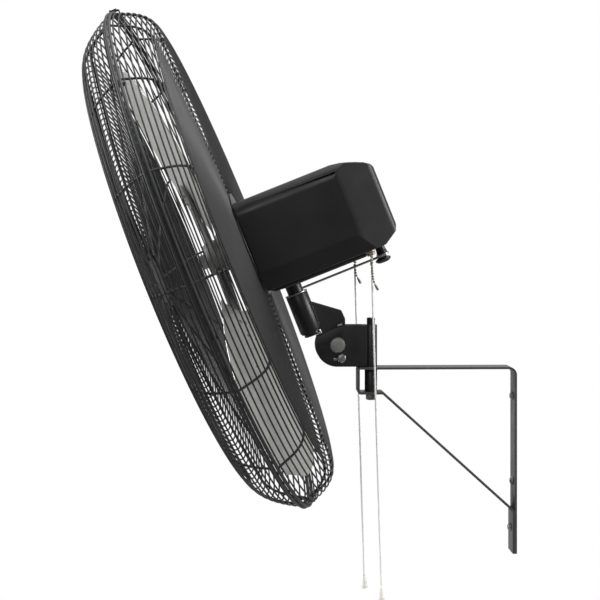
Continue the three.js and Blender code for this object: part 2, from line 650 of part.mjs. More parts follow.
const WIRE_FRONT = -domeDepth(FIRST_RING_RADIUS, FRONT_GUARD) - WIRE_RADIUS;
const badge = turned([
  [0, WIRE_FRONT - GAP - BADGE_THICK - 2],
  [BADGE_RADIUS * 0.6, WIRE_FRONT - GAP - BADGE_THICK - 1.2],
  [BADGE_RADIUS, WIRE_FRONT - GAP - 0.6],
  [BADGE_RADIUS, WIRE_FRONT - GAP],
  [0, WIRE_FRONT - GAP],
]);
add(head, "guard_badge", badge, BLACK_PLASTIC);

/** A clip that holds the two rim wires together, round them both. */
function rimClip(upwards) {
  const outer = RIM_RING_RADIUS + RIM_WIRE_RADIUS + GAP;
  const reach = 2 * RIM_OFFSET + 2;
  const across = block([-4, -reach - 1.5, outer], [4, reach + 1.5, outer + 1.8]);
  const hooks = [-1, 1].map((side) => {
    const [near, far] = [reach, reach + 1.5].map((y) => side * y);
    return block([-4, Math.min(near, far), outer - 4], [4, Math.max(near, far), outer + 1]);
  });
  const screw = rod(2.4, -reach - 3, reach + 3, 8).translate(0, 0, outer + 3.6);
  const ear = block([-2.5, -reach - 1.5, outer + 1], [2.5, reach + 1.5, outer + 4]);
  const clip = join(across, ...hooks, ear, screw);
  return clip.rotateY(radians(RIB_PHASE_DEGREES) + (upwards ? 0 : Math.PI));
}
add(head, "guard_clip_top", rimClip(true), GUARD_WIRE);
add(head, "guard_clip_bottom", rimClip(false), GUARD_WIRE);

const RING_FRONT = REAR_GUARD.centre + 1.3 * WIRE_RADIUS + GAP;
const mountRing = tube(BELL_BOSS_RADIUS + 0.5, MOUNT_RING_RADIUS, RING_FRONT, HOUSING_FRONT - GAP, 32);
add(head, "guard_mount_ring", mountRing, BLACK_PAINT);

// ---------------------------------------------------------------- fan
const spin = new THREE.Group();
head.add(spin);

const alongBlade = (geometry, angle) => geometry.rotateY(radians(angle));

/** One paddle, drawn standing up along +Z, on the rear face of its spider arm. */
function blade() {
  const [stations, across] = [13, 7];
  const pitch = radians(BLADE_PITCH);
  const lift = SPIDER_THICK / 2 + GAP + BLADE_THICK / 2;
  const position = [];
  const width = (t) => {
    const swell = Math.sin((Math.PI / 2) * Math.min(t / BLADE_WIDEST, 1));
    const past = Math.max(t - BLADE_TIP_START, 0) / (BLADE_TIP_BLUNT - BLADE_TIP_START);
    return (BLADE_ROOT_CHORD + (BLADE_CHORD - BLADE_ROOT_CHORD) * swell) * Math.sqrt(1 - past ** 2);
  };
  for (const face of [-1, 1]) {
    for (let i = 0; i < stations; i++) {
      const t = i / (stations - 1);
      const radius = BLADE_ROOT_RADIUS + (BLADE_TIP_RADIUS - BLADE_ROOT_RADIUS) * t ** 0.85;
      const chord = width(t ** 0.85);
      for (let j = 0; j < across; j++) {
        const s = j / (across - 1) - 0.5;
        const hollow = BLADE_CAMBER * chord * (1 - 4 * s * s) * Math.min(1, 2 * t);
        const off = lift + hollow + (face * BLADE_THICK) / 2;
        const around = (s * chord * Math.cos(pitch) - off * Math.sin(pitch)) / radius;
        const rear = FAN_PLANE + s * chord * Math.sin(pitch) + off * Math.cos(pitch);
        position.push(radius * Math.sin(around), rear, radius * Math.cos(around));
      }
    }
  }
  const side = stations * across;
  const at = (face, i, j) => face * side + i * across + j;
  const index = [];
  const quad = (a, b, c, d) => index.push(a, b, c, a, c, d);
  for (let i = 0; i < stations - 1; i++) {
    for (let j = 0; j < across - 1; j++) {
      quad(at(0, i, j), at(0, i, j + 1), at(0, i + 1, j + 1), at(0, i + 1, j));
      quad(at(1, i, j), at(1, i + 1, j), at(1, i + 1, j + 1), at(1, i, j + 1));
    }
    quad(at(0, i, 0), at(0, i + 1, 0), at(1, i + 1, 0), at(1, i, 0));
    quad(at(0, i + 1, across - 1), at(0, i, across - 1), at(1, i, across - 1), at(1, i + 1, across - 1));
  }
  const last = stations - 1;
  for (let j = 0; j < across - 1; j++) {
    quad(at(0, 0, j + 1), at(0, 0, j), at(1, 0, j), at(1, 0, j + 1));
    quad(at(0, last, j), at(0, last, j + 1), at(1, last, j + 1), at(1, last, j));
  }
  const geometry = new THREE.BufferGeometry();
  geometry.setAttribute("position", new THREE.Float32BufferAttribute(position, 3));
  geometry.setIndex(index);
  return geometry;
}

function hub() {
  const boss = turned([
    [SHAFT_RADIUS + GAP, HUB_FRONT],
    [HUB_RADIUS - 6, HUB_FRONT],
    [HUB_RADIUS, HUB_FRONT + 8],
    [HUB_RADIUS, HUB_REAR - 6],
    [HUB_RADIUS - 8, HUB_REAR],
    [SHAFT_RADIUS + GAP, HUB_REAR],
  ]);
  const arms = BLADE_ANGLES.map((angle) => {
    const half = SPIDER_WIDTH / 2;
    const arm = block([-half, -SPIDER_THICK / 2, 18], [half, SPIDER_THICK / 2, SPIDER_REACH]);
    arm.rotateZ(radians(BLADE_PITCH)).translate(0, FAN_PLANE, 0);
    return alongBlade(arm, angle);
  });
  const bore = rod(SHAFT_RADIUS + GAP, HUB_FRONT - 1, HUB_REAR + 1, ROUND);
  return cut(join(boss, ...arms), bore);
}

const shaftTail = CRANK_REAR + WORM_LENGTH / 2 + 2;
const SHAFT_STEP = 190;
add(
  spin,
  "motor_shaft",
  turned([
    [0, HUB_FRONT - 12],
    [SHAFT_RADIUS, HUB_FRONT - 12],
    [SHAFT_RADIUS, SHAFT_STEP],
    [SHAFT_TAIL_RADIUS, SHAFT_STEP],
    [SHAFT_TAIL_RADIUS, shaftTail],
    [0, shaftTail],
  ]),
  STEEL,
);
add(spin, "shaft_nut", hexNut(SHAFT_RADIUS + GAP, 13, HUB_FRONT - 9, HUB_FRONT - GAP), ZINC);
add(spin, "blade_hub", hub(), CAST_ALUMINIUM);
BLADE_ANGLES.forEach((angle, i) => add(spin, `blade_${i + 1}`, alongBlade(blade(), angle), ALUMINIUM));
const STATOR_REAR = STATOR_FRONT + STATOR_LENGTH;
add(
  spin,
  "rotor",
  tube(SHAFT_RADIUS + GAP, STATOR_BORE - 0.6, STATOR_FRONT + 4, STATOR_REAR - 4),
  STEEL,
);

/** The worm on the shaft's tail, with its thread as ridges. */
function worm() {
  const profile = [[SHAFT_TAIL_RADIUS + GAP, CRANK_REAR - WORM_LENGTH / 2]];
  const ridges = 5;
  for (let i = 0; i < ridges; i++) {
    const start = CRANK_REAR - WORM_LENGTH / 2 + (WORM_LENGTH * i) / ridges;
    profile.push([WORM_RADIUS - 1.2, start], [WORM_RADIUS, start + WORM_LENGTH / ridges / 2]);
  }
  profile.push([WORM_RADIUS - 1.2, CRANK_REAR + WORM_LENGTH / 2]);
  profile.push([SHAFT_TAIL_RADIUS + GAP, CRANK_REAR + WORM_LENGTH / 2]);
  return turned(profile, SMALL_ROUND);
}
add(spin, "worm", worm(), BRASS);

// ---------------------------------------------------------------- motor
const FRONT_BELL_FRONT = HOUSING_FRONT - 3;
const BELL_SEAT = HOUSING_FRONT + HOUSING_WALL + GAP;
const BEARING_FRONT = BELL_SEAT + 1;
const REAR_BELL_FRONT = STATOR_REAR + GAP;
const REAR_BELL_PLATE = REAR_BELL_FRONT + 12;
const REAR_BELL_REAR = REAR_BELL_PLATE + 18;
const SEAT = BEARING_RADIUS + GAP;

add(
  head,
  "motor_front_bell",
  turned([
    [SEAT, FRONT_BELL_FRONT],
    [BELL_BOSS_RADIUS, FRONT_BELL_FRONT],
    [BELL_BOSS_RADIUS, BELL_SEAT],
    [MOTOR_RADIUS, BELL_SEAT],
    [MOTOR_RADIUS, STATOR_FRONT - GAP],
    [MOTOR_RADIUS - BELL_RIM, STATOR_FRONT - GAP],
    [MOTOR_RADIUS - BELL_RIM, BELL_SEAT + 7],
    [SEAT + 12, BELL_SEAT + 7],
    [SEAT + 10, BEARING_FRONT + BEARING_WIDTH],
    [SEAT, BEARING_FRONT + BEARING_WIDTH],
  ]),
  CAST_ALUMINIUM,
);
add(
  head,
  "motor_rear_bell",
  turned([
    [SEAT, REAR_BELL_PLATE],
    [MOTOR_RADIUS - BELL_RIM, REAR_BELL_PLATE],
    [MOTOR_RADIUS - BELL_RIM, REAR_BELL_FRONT],
    [MOTOR_RADIUS, REAR_BELL_FRONT],
    [MOTOR_RADIUS, REAR_BELL_PLATE + 6],
    [SEAT + 10, REAR_BELL_PLATE + 8],
    [SEAT + 10, REAR_BELL_REAR],
    [SEAT, REAR_BELL_REAR],
  ]),
  CAST_ALUMINIUM,
);
add(head, "stator", tube(STATOR_BORE, MOTOR_RADIUS, STATOR_FRONT, STATOR_REAR, 32), COPPER_WOUND);
for (const [name, start] of [["front_bearing", BEARING_FRONT], ["rear_bearing", REAR_BELL_PLATE + 2]]) {
  add(head, name, tube(SHAFT_RADIUS + GAP, BEARING_RADIUS, start, start + BEARING_WIDTH), STEEL);
}

// ---------------------------------------------------------------- oscillation gear
const GEAR_SIDE = -(WORM_RADIUS + WHEEL_RADIUS + GAP); // x of the crank's axis
const crankAxis = [GEAR_SIDE, CRANK_REAR];
const onCrank = (geometry) => upright(geometry).translate(...crankAxis, 0);
const CASE_WALL = 3;
const CASE_BOTTOM = -30;

function gearbox() {
  const low = [GEAR_SIDE - WHEEL_RADIUS - 4, CRANK_REAR - 20, CASE_BOTTOM];
  const high = [10, CRANK_REAR + 20, 20];
  const cavity = block(low.map((value) => value + CASE_WALL), high.map((value) => value - CASE_WALL));
  const snout = rod(12, REAR_BELL_REAR + GAP, low[1] + 1, ROUND);
  const crankBoss = onCrank(turned([
    [0, CASE_BOTTOM + 1],
    [8.4, CASE_BOTTOM + 1],
    [7, HOUSING_FLOOR],
    [8.4, CRANK_BOSS_BOTTOM],
    [0, CRANK_BOSS_BOTTOM],
  ], SMALL_ROUND));
  return cut(
    join(block(low, high), snout, crankBoss),
    cavity,
    rod(SHAFT_RADIUS + 0.6, REAR_BELL_REAR, SHAFT_STEP + 2, ROUND),
    rod(SHAFT_TAIL_RADIUS + 0.6, SHAFT_STEP, CRANK_REAR),
    onCrank(rod(CRANK_SHAFT_RADIUS + GAP, CRANK_BOSS_BOTTOM - 1, 0)),
  );
}

function wormWheel() {
  const outline = [];
  for (let i = 0; i < 2 * WHEEL_TEETH; i++) {
    const angle = (Math.PI * i) / WHEEL_TEETH;
    const radius = i % 2 ? WHEEL_RADIUS : WHEEL_RADIUS - 1;
    outline.push([radius * Math.cos(angle), radius * Math.sin(angle)]);
  }
  const bore = upright(rod(CRANK_SHAFT_RADIUS + GAP, -WHEEL_THICK, WHEEL_THICK));
  const blank = prism(outline, "xy", -WHEEL_THICK / 2, WHEEL_THICK / 2);
  return cut(blank, bore).translate(...crankAxis, 0);
}

const ARM_TOP = CRANK_BOSS_BOTTOM - GAP;
const ARM_BOTTOM = ARM_TOP - CRANK_PLATE;
const crankAngle = Math.PI + radians(CRANK_RATIO * HEAD_YAW_DEGREES);
const crankPin = [
  crankAxis[0] + CRANK_RADIUS * Math.cos(crankAngle),
  crankAxis[1] + CRANK_RADIUS * Math.sin(crankAngle),
];
const onPin = (geometry) => upright(geometry).translate(...crankPin, 0);

/** The crank: its shaft, the arm staked to the shaft's foot, and the pin that drives the rod. */
function crank() {
  const arm = prism(roundEnded(crankAxis, 10, crankPin, 8), "xy", ARM_BOTTOM, ARM_TOP);
  const pin = onPin(rod(CRANK_PIN_RADIUS, ROD_BOTTOM - 5, ARM_TOP - 0.5));
  return join(onCrank(rod(CRANK_SHAFT_RADIUS, ARM_BOTTOM + 0.5, WHEEL_THICK + 4)), arm, pin);
}

add(head, "gearbox", gearbox(), CAST_ALUMINIUM);
add(head, "worm_wheel", wormWheel(), BRASS);
add(head, "crank", crank(), ZINC);
const KNOB_TOP = ROD_BOTTOM - GAP;
add(
  head,
  "crank_knob",
  onPin(turned([
    [CRANK_PIN_RADIUS + GAP, KNOB_TOP],
    [5, KNOB_TOP],
    [KNOB_RADIUS - 2, KNOB_TOP - 1.4],
    [KNOB_RADIUS, KNOB_TOP - 3.2],
    [KNOB_RADIUS, KNOB_TOP - 5],
    [KNOB_RADIUS - 3, KNOB_TOP - KNOB_HEIGHT + 1],
    [6, KNOB_TOP - KNOB_HEIGHT],
    [CRANK_PIN_RADIUS + GAP, KNOB_TOP - KNOB_HEIGHT],
  ])),
  BLACK_PLASTIC,
);

/** Link rod from the sleeve's lug to the crank pin, in the tilted frame. */
function linkRod() {
  const lug = new THREE.Vector3(-LUG_RADIUS, NECK_REAR, ROD_MIDDLE);
  const pin = new THREE.Vector3(crankPin[0], crankPin[1] - NECK_REAR, 0)
    .applyAxisAngle(new THREE.Vector3(0, 0, 1), radians(HEAD_YAW_DEGREES))
    .add(new THREE.Vector3(0, NECK_REAR, ROD_MIDDLE));
  const along = pin.clone().sub(lug);
  const length = along.length();
  // drawn from the lug along +Y, then turned to the pin
  const frontEye = upright(rod(5, ROD_BOTTOM - ROD_MIDDLE, ROD_TOP - ROD_MIDDLE));
  const [wide, long] = [ROD_SLOT_HALF_WIDTH, ROD_SLOT_HALF_LENGTH];
  const half = ROD_EYE_THICK / 2;
  const rearEye = block([-wide - 2.4, length - long - 2.4, -half], [wide + 2.4, length + long + 2.4, half]);
  const slot = block([-wide, length - long, -ROD_EYE_THICK], [wide, length + long, ROD_EYE_THICK]);
  const pinHole = upright(rod(CRANK_PIN_RADIUS + GAP, -ROD_EYE_THICK, ROD_EYE_THICK));
  const whole = join(frontEye, rod(ROD_RADIUS, 3, length - long - 1, 8), rearEye);
  const turn = Math.atan2(-along.x, along.y);
  return cut(whole, slot, pinHole).rotateZ(turn).translate(lug.x, lug.y, lug.z);
}
add(tilted, "link_rod", linkRod(), ZINC);

// ---------------------------------------------------------------- neck pin and housing
const BASE_TOP = HOUSING_FLOOR - GAP;
const BASE_BOTTOM = BASE_TOP - BASE_DEPTH;
const NECK_BOTTOM = GUSSET_BOTTOM + 1;
add(
  head,
  "neck_pin",
  onNeck(turned([
    [0, NECK_BOTTOM],
    [NECK_RADIUS, NECK_BOTTOM],
    [NECK_RADIUS, BASE_BOTTOM + HOUSING_WALL + GAP],
    [NECK_RADIUS + 5, BASE_BOTTOM + HOUSING_WALL + GAP],
    [NECK_RADIUS + 5, BASE_TOP],
    [0, BASE_TOP],
  ])),
  BLACK_PAINT,
);
const clipTop = SLEEVE_BOTTOM - GAP;
add(head, "neck_circlip", onNeck(tube(NECK_RADIUS + GAP, NECK_RADIUS + 3, clipTop - 2.5, clipTop)), ZINC);

const housingSide = [
  [HOUSING_FRONT, HOUSING_FLOOR + 3],
  [HOUSING_FRONT + 4, HOUSING_FLOOR],
  [HOUSING_REAR - 25, HOUSING_FLOOR],
  [HOUSING_REAR - 4, HOUSING_FLOOR + 13],
  [HOUSING_REAR, HOUSING_FLOOR + 22],
  [HOUSING_REAR, 38.7],
  [HOUSING_REAR - 5, HOUSING_TOP - 19],
  [HOUSING_REAR - 23, HOUSING_TOP - 9.5],
  [HOUSING_REAR - 45, HOUSING_TOP - 2.5],
  [HOUSING_REAR - 60, HOUSING_TOP],
  [HOUSING_FRONT, HOUSING_TOP],
];
const mirrored = (half) => [...half, ...half.map(([x, other]) => [-x, other]).reverse()];
const housingPlan = mirrored([
  [HOUSING_HALF_WIDTH, HOUSING_FRONT],
  [HOUSING_HALF_WIDTH, HOUSING_REAR - 58],
  [HOUSING_HALF_WIDTH - 3, HOUSING_REAR - 50],
  [HOUSING_HALF_WIDTH - 20, HOUSING_REAR - 8],
  [HOUSING_HALF_WIDTH - 28, HOUSING_REAR],
]);
const housingFace = mirrored([
  [HOUSING_HALF_WIDTH - 7, HOUSING_FLOOR],
  [HOUSING_HALF_WIDTH, HOUSING_FLOOR + 28],
  [HOUSING_HALF_WIDTH, HOUSING_TOP - 14],
  [HOUSING_HALF_WIDTH - 4.5, HOUSING_TOP - 4.5],
  [HOUSING_HALF_WIDTH - 14, HOUSING_TOP],
]);
const swapped = (points) => points.map(([x, z]) => [z, x]);

const housingBlock = (wall) =>
  common(
    prism(inset(housingSide, wall), "yz", -HOUSING_HALF_WIDTH - 1, HOUSING_HALF_WIDTH + 1),
    prism(inset(housingPlan, wall), "xy", HOUSING_FLOOR - 1, HOUSING_TOP + 1),
    prism(inset(swapped(housingFace), wall), "zx", HOUSING_FRONT - 1, HOUSING_REAR + 1),
  );

const FLOOR_OPENING_HALF = BASE_HALF_WIDTH - 3;

function housingHood() {
  const floorOpening = block(
    [-FLOOR_OPENING_HALF, HOUSING_FRONT + 8, HOUSING_FLOOR - 1],
    [FLOOR_OPENING_HALF, BASE_REAR - 4, HOUSING_FLOOR + HOUSING_WALL + 1],
  );
  const bellHole = rod(BELL_BOSS_RADIUS + GAP, HOUSING_FRONT - 1, HOUSING_FRONT + HOUSING_WALL + 1, 32);
  const crankHole = onCrank(rod(9, HOUSING_FLOOR - 1, HOUSING_FLOOR + HOUSING_WALL + 1));
  const plungerHoles = Object.values(PULLS).map(({ side, rear }) => {
    const hole = rod(PLUNGER_RADIUS + 2 * GAP, HOUSING_FLOOR - 1, HOUSING_FLOOR + HOUSING_WALL + 1, 8);
    return upright(hole).translate(side, rear, 0);
  });
  return cut(housingBlock(0), housingBlock(HOUSING_WALL), floorOpening, bellHole, crankHole, ...plungerHoles);
}

const GLAND = [-30, 140];
function housingBase() {
  const bevel = 2.5;
  const sideways6 = [
    [-BASE_HALF_WIDTH + bevel, BASE_BOTTOM],
    [BASE_HALF_WIDTH - bevel, BASE_BOTTOM],
    [BASE_HALF_WIDTH, BASE_BOTTOM + bevel],
    [BASE_HALF_WIDTH, BASE_TOP],
    [-BASE_HALF_WIDTH, BASE_TOP],
    [-BASE_HALF_WIDTH, BASE_BOTTOM + bevel],
  ];
  const lengthways = [
    [HOUSING_FRONT + 4, BASE_TOP],
    [HOUSING_FRONT + 12, BASE_BOTTOM + 2],
    [HOUSING_FRONT + 40, BASE_BOTTOM],
    [BASE_REAR - 3, BASE_BOTTOM],
    [BASE_REAR, BASE_BOTTOM + 3],
    [BASE_REAR, BASE_TOP],
  ];
  const slab = common(
    prism(swapped(sideways6), "zx", HOUSING_FRONT, BASE_REAR + 1),
    prism(lengthways, "yz", -BASE_HALF_WIDTH - 1, BASE_HALF_WIDTH + 1),
  );
  const pocket = block(
    [-FLOOR_OPENING_HALF, HOUSING_FRONT + 17, BASE_BOTTOM + HOUSING_WALL],
    [FLOOR_OPENING_HALF, BASE_REAR - 4, BASE_TOP + 1],
  );
  const glandHole = upright(rod(4, BASE_BOTTOM - 1, BASE_TOP)).translate(...GLAND, 0);
  return cut(slab, pocket, onNeck(rod(NECK_RADIUS + GAP, BASE_BOTTOM - 1, BASE_TOP, ROUND)), glandHole);
}

add(head, "housing_hood", housingHood(), BLACK_PAINT);
add(head, "housing_base", housingBase(), BLACK_PAINT);
const GROMMET_DEPTH = 2.4;
add(
  head,
  "cable_gland",
  upright(turned([
    [3, BASE_BOTTOM - GROMMET_DEPTH],
    [5.8, BASE_BOTTOM - GROMMET_DEPTH],
    [7, BASE_BOTTOM - GROMMET_DEPTH / 2],
    [7, BASE_BOTTOM - GAP],
    [3, BASE_BOTTOM - GAP],
  ], SMALL_ROUND)).translate(...GLAND, 0),
  BLACK_PLASTIC,
);
const CAPACITOR_RADIUS = 13;
const capacitorMiddle = (MOTOR_RADIUS + CAPACITOR_RADIUS + 2 * GAP) * Math.SQRT1_2;
const capacitor = rod(CAPACITOR_RADIUS, STATOR_FRONT + 8, STATOR_REAR - 8, ROUND);
add(head, "run_capacitor", capacitor.translate(capacitorMiddle, 0, -capacitorMiddle), CAST_ALUMINIUM);

// ---------------------------------------------------------------- pull switches, chains and cords
const SWITCH_BOTTOM = HOUSING_FLOOR + HOUSING_WALL + GAP;
const NOZZLE_TOP = HOUSING_FLOOR - GAP;
const NOZZLE_MOUTH = NOZZLE_TOP - NOZZLE_LENGTH;

/** Where a point of the head's frame lies in the wall's frame. */
function fromHead(x, y, z) {
  part.updateMatrixWorld(true);
  return head.localToWorld(new THREE.Vector3(x, y, z));
}

for (const [which, { side, rear, tail, cord }] of Object.entries(PULLS)) {
  const half = SWITCH_SIZE / 2;
  const plungerTop = SWITCH_BOTTOM + SWITCH_HEIGHT - 3;
  const here = (geometry) => geometry.translate(side, rear, 0);
  const body = block([-half, -half, SWITCH_BOTTOM], [half, half, SWITCH_BOTTOM + SWITCH_HEIGHT]);
  const bore = upright(rod(PLUNGER_RADIUS + 2 * GAP, SWITCH_BOTTOM - 1, plungerTop + 1, 8));
  add(head, `${which}_pull_switch`, here(cut(body, bore)), BLACK_PLASTIC);

  add(
    head,
    `${which}_chain_nozzle`,
    here(upright(turned([
      [PLUNGER_RADIUS + 2 * GAP, NOZZLE_TOP],
      [NOZZLE_RADIUS + 1.5, NOZZLE_TOP],
      [NOZZLE_RADIUS + 1.5, NOZZLE_TOP - 1.2],
      [NOZZLE_RADIUS, NOZZLE_TOP - 1.8],
      [NOZZLE_RADIUS, NOZZLE_MOUTH + 0.8],
      [NOZZLE_RADIUS - 0.8, NOZZLE_MOUTH],
      [NOZZLE_BORE + 0.8, NOZZLE_MOUTH],
      [NOZZLE_BORE, NOZZLE_MOUTH + 1.2],
      [NOZZLE_BORE, NOZZLE_TOP - 1.6],
      [PLUNGER_RADIUS + 2 * GAP, NOZZLE_TOP - 1.6],
    ], SMALL_ROUND))),
    BRASS,
  );

  // the switch's plunger ends in an eye, and a ball hangs under it at the nozzle's mouth
  const ballMiddle = NOZZLE_MOUTH + 0.5;
  const plungerBottom = ballMiddle + PULL_BALL_RADIUS + GAP;
  add(head, `${which}_plunger`, here(upright(rod(PLUNGER_RADIUS, plungerBottom, plungerTop, 8))), STEEL);
  const ball = new THREE.SphereGeometry(PULL_BALL_RADIUS, 8, 6).translate(0, 0, ballMiddle);
  add(head, `${which}_pull_ball`, here(ball), BRASS);

  // the chain hangs from the ball, with its free tail beside the cord that is tied into it
  const hook = fromHead(side, rear, ballMiddle);
  const lean = Math.tan(radians(CORD_LEAN_DEGREES));
  const hang = (down, out = 0, aside = 0) =>
    new THREE.Vector3(hook.x + aside, hook.y + down * lean + out, hook.z - down);
  const start = PULL_BALL_RADIUS + GAP;
  const tailBend = tail - CHAIN_END_LENGTH;
  const chainRoute = new THREE.CatmullRomCurve3([
    hang(start, 0),
    hang(start + 7, 0),
    hang(start + 14, 0.4),
    hang(tailBend * 0.6, 0.6),
    hang(tailBend * 0.85, 1.6),
    hang(tailBend, 4.2),
  ]);
  const endRoute = new THREE.LineCurve3(hang(tailBend - 0.2, 3.9), hang(tail, 8.4));
  const link = join(bar(chainRoute, CHAIN_RADIUS, 14), bar(endRoute, CHAIN_RADIUS + 0.7, 2));
  add(part, `${which}_chain`, link, BRASS);

  // the cord hangs close beside the chain that it is tied into
  const tie = start + 9;
  const beside = -(CHAIN_RADIUS + CORD_RADIUS + GAP);
  const cordRoute = new THREE.LineCurve3(hang(tie, 0, beside), hang(tie + cord, 0, beside));
  add(part, `${which}_cord`, bar(cordRoute, CORD_RADIUS, 16), WHITE_CORD);

  const bell = upright(turned([
    [0, 0],
    [CORD_RADIUS + 0.8, 0],
    [CORD_RADIUS + 1.6, -4],
    [BELL_RADIUS, -BELL_HEIGHT + 3],
    [BELL_RADIUS, -BELL_HEIGHT],
    [0, -BELL_HEIGHT],
  ], SMALL_ROUND));
  bell.rotateX(radians(CORD_LEAN_DEGREES)).translate(...hang(tie + cord + GAP, 0, beside).toArray());
  add(part, `${which}_bell`, bell, WHITE_PLASTIC);
}

export default part;
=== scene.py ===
"""The looks of a wall mounted oscillating fan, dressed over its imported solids.

Pieces are drawn in millimetres in the frame of the sub-assembly that they belong to, and each one is
then settled into the wall's frame in metres: +Z up, the wall at Y = 0 and the fan towards -Y.
"""

from __future__ import annotations

import json
import logging
import math
from dataclasses import dataclass
from enum import Enum
from typing import Sequence

import bpy
from mathutils import Matrix, Vector


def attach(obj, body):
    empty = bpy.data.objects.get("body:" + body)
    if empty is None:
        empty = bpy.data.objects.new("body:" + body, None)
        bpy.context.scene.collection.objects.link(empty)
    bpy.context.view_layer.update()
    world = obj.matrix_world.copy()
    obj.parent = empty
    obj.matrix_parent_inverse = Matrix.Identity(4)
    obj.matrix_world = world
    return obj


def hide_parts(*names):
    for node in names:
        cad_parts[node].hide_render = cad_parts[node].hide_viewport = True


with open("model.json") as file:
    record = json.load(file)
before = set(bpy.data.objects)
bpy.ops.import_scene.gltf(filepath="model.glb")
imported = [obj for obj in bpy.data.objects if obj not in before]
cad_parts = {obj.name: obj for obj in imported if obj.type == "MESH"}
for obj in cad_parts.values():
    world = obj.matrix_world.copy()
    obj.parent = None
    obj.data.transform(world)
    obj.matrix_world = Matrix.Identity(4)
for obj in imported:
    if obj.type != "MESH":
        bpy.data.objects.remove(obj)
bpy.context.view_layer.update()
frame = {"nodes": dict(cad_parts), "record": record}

LOG = logging.getLogger("wall_fan")
MILLIMETRE = 0.001
GAP = 0.3  # between pieces that touch, in mm
CURVE_STEPS = 6  # of a curved bar, between two of its points

Pair = tuple[float, float]
Triple = tuple[float, float, float]
Piece = bpy.types.Object
Tree = bpy.types.NodeTree
Node = bpy.types.Node
Socket = bpy.types.NodeSocket


# ------------------------------------------------------------------ places and axes
TILT = math.radians(21.8)
YAW = math.radians(-4.2)
NECK_REAR = 98.0
RIM_FROM_WALL = 461.0
RIM_HEIGHT = 304.4
HINGE = (-272.6, 174.0)  # y and z of the tilt axis


def tilted_matrix() -> Matrix:
    """The tilting arm's frame: its origin is the middle of the guard's joint."""
    move = Matrix.Translation((0, -RIM_FROM_WALL, RIM_HEIGHT))
    return Matrix.Scale(MILLIMETRE, 4) @ move @ Matrix.Rotation(TILT, 4, "X")


def head_matrix() -> Matrix:
    """The head's frame, which turns on the neck."""
    to_neck = Matrix.Translation((0, NECK_REAR, 0))
    return tilted_matrix() @ to_neck @ Matrix.Rotation(YAW, 4, "Z") @ to_neck.inverted()


class Place(Enum):
    """The frame that a piece is drawn in."""

    METRES = Matrix.Identity(4)
    WALL = Matrix.Scale(MILLIMETRE, 4)
    TILTED = tilted_matrix()
    HEAD = head_matrix()


class Axis(Enum):
    """The axis that a turned piece is turned about, and a plate is extruded along."""

    UPRIGHT = Matrix.Identity(4)
    REARWARD = Matrix.Rotation(-math.pi / 2, 4, "X")
    SIDEWAYS = Matrix.Rotation(math.pi / 2, 4, "Y")


# ------------------------------------------------------------------ modelling by operators
def clear_selection() -> None:
    """Deselects everything, in object mode."""
    if bpy.context.mode != "OBJECT":
        bpy.ops.object.mode_set(mode="OBJECT")
    bpy.ops.object.select_all(action="DESELECT")


def take_up(piece: Piece) -> Piece:
    """Makes a piece the only selected one, and the active one."""
    clear_selection()
    piece.select_set(True)
    bpy.context.view_layer.objects.active = piece
    return piece


def edit_all(piece: Piece) -> None:
    """Opens a piece in edit mode with all of it selected."""
    take_up(piece)
    bpy.ops.object.mode_set(mode="EDIT")
    bpy.ops.mesh.select_mode(type="VERT")
    bpy.ops.mesh.select_all(action="SELECT")


def close_edit() -> None:
    """Goes back to object mode."""
    bpy.ops.object.mode_set(mode="OBJECT")


def mend(piece: Piece, weld: float = 0.01) -> Piece:
    """Merges a mesh's doubles and turns its faces outwards."""
    edit_all(piece)
    bpy.ops.mesh.remove_doubles(threshold=weld)
    bpy.ops.mesh.normals_make_consistent(inside=False)
    close_edit()
    return piece


def apply_modifier(piece: Piece, kind: str, **settings: object) -> Piece:
    """Adds a modifier with its settings and applies it."""
    take_up(piece)
    modifier = piece.modifiers.new(kind.lower(), kind)
    for name, value in settings.items():
        setattr(modifier, name, value)
    bpy.ops.object.modifier_apply(modifier=modifier.name)
    return piece


def smooth(piece: Piece, degrees: float = 35.0) -> Piece:
    """Shades a piece smooth, apart from its sharp edges."""
    take_up(piece)
    bpy.ops.object.shade_smooth_by_angle(angle=math.radians(degrees))
    return piece


def soften(piece: Piece, width: float, segments: int = 2, degrees: float = 35.0) -> Piece:
    """Rounds a piece's edges where they are sharper than an angle."""
    apply_modifier(
        piece,
        "BEVEL",
        width=width,
        segments=segments,
        limit_method="ANGLE",
        angle_limit=math.radians(degrees),
        use_clamp_overlap=True,
    )
    return smooth(piece, degrees)


def new_object(name: str, data: bpy.types.ID) -> Piece:
    """A new object in the scene, for a mesh, a curve, a lamp or a camera."""
    piece = bpy.data.objects.new(name, data)
    bpy.context.scene.collection.objects.link(piece)
    return piece


def mesh_object(name: str, points: Sequence[Sequence[float]], edges: Sequence, faces: Sequence) -> Piece:
    """A new mesh from its points, and the edges and faces between them."""
    mesh = bpy.data.meshes.new(name)
    mesh.from_pydata(points, edges, faces)
    return new_object(name, mesh)


def turned(
    name: str, profile: Sequence[Pair], axis: Axis, steps: int = 64, offset: Sequence[float] = (0, 0, 0)
) -> Piece:
    """A solid of revolution, spun from its profile.

    Args:
        name: The piece's name.
        profile: (radius, along) points. Where the first lies off the axis, the profile closes on itself.
        axis: The axis that it turns about.
        steps: Its sides.
        offset: Where the profile's origin goes, in mm.
    """
    count = len(profile)
    edges = [(i, i + 1) for i in range(count - 1)]
    if profile[0][0] > 0:
        edges.append((count - 1, 0))
    piece = mesh_object(name, [(x, 0.0, z) for x, z in profile], edges, [])
    edit_all(piece)
    bpy.ops.mesh.spin(steps=steps, angle=2 * math.pi, center=(0, 0, 0), axis=(0, 0, 1))
    close_edit()
    mend(piece)
    piece.data.transform(Matrix.Translation(Vector(offset)) @ axis.value)
    return smooth(piece)


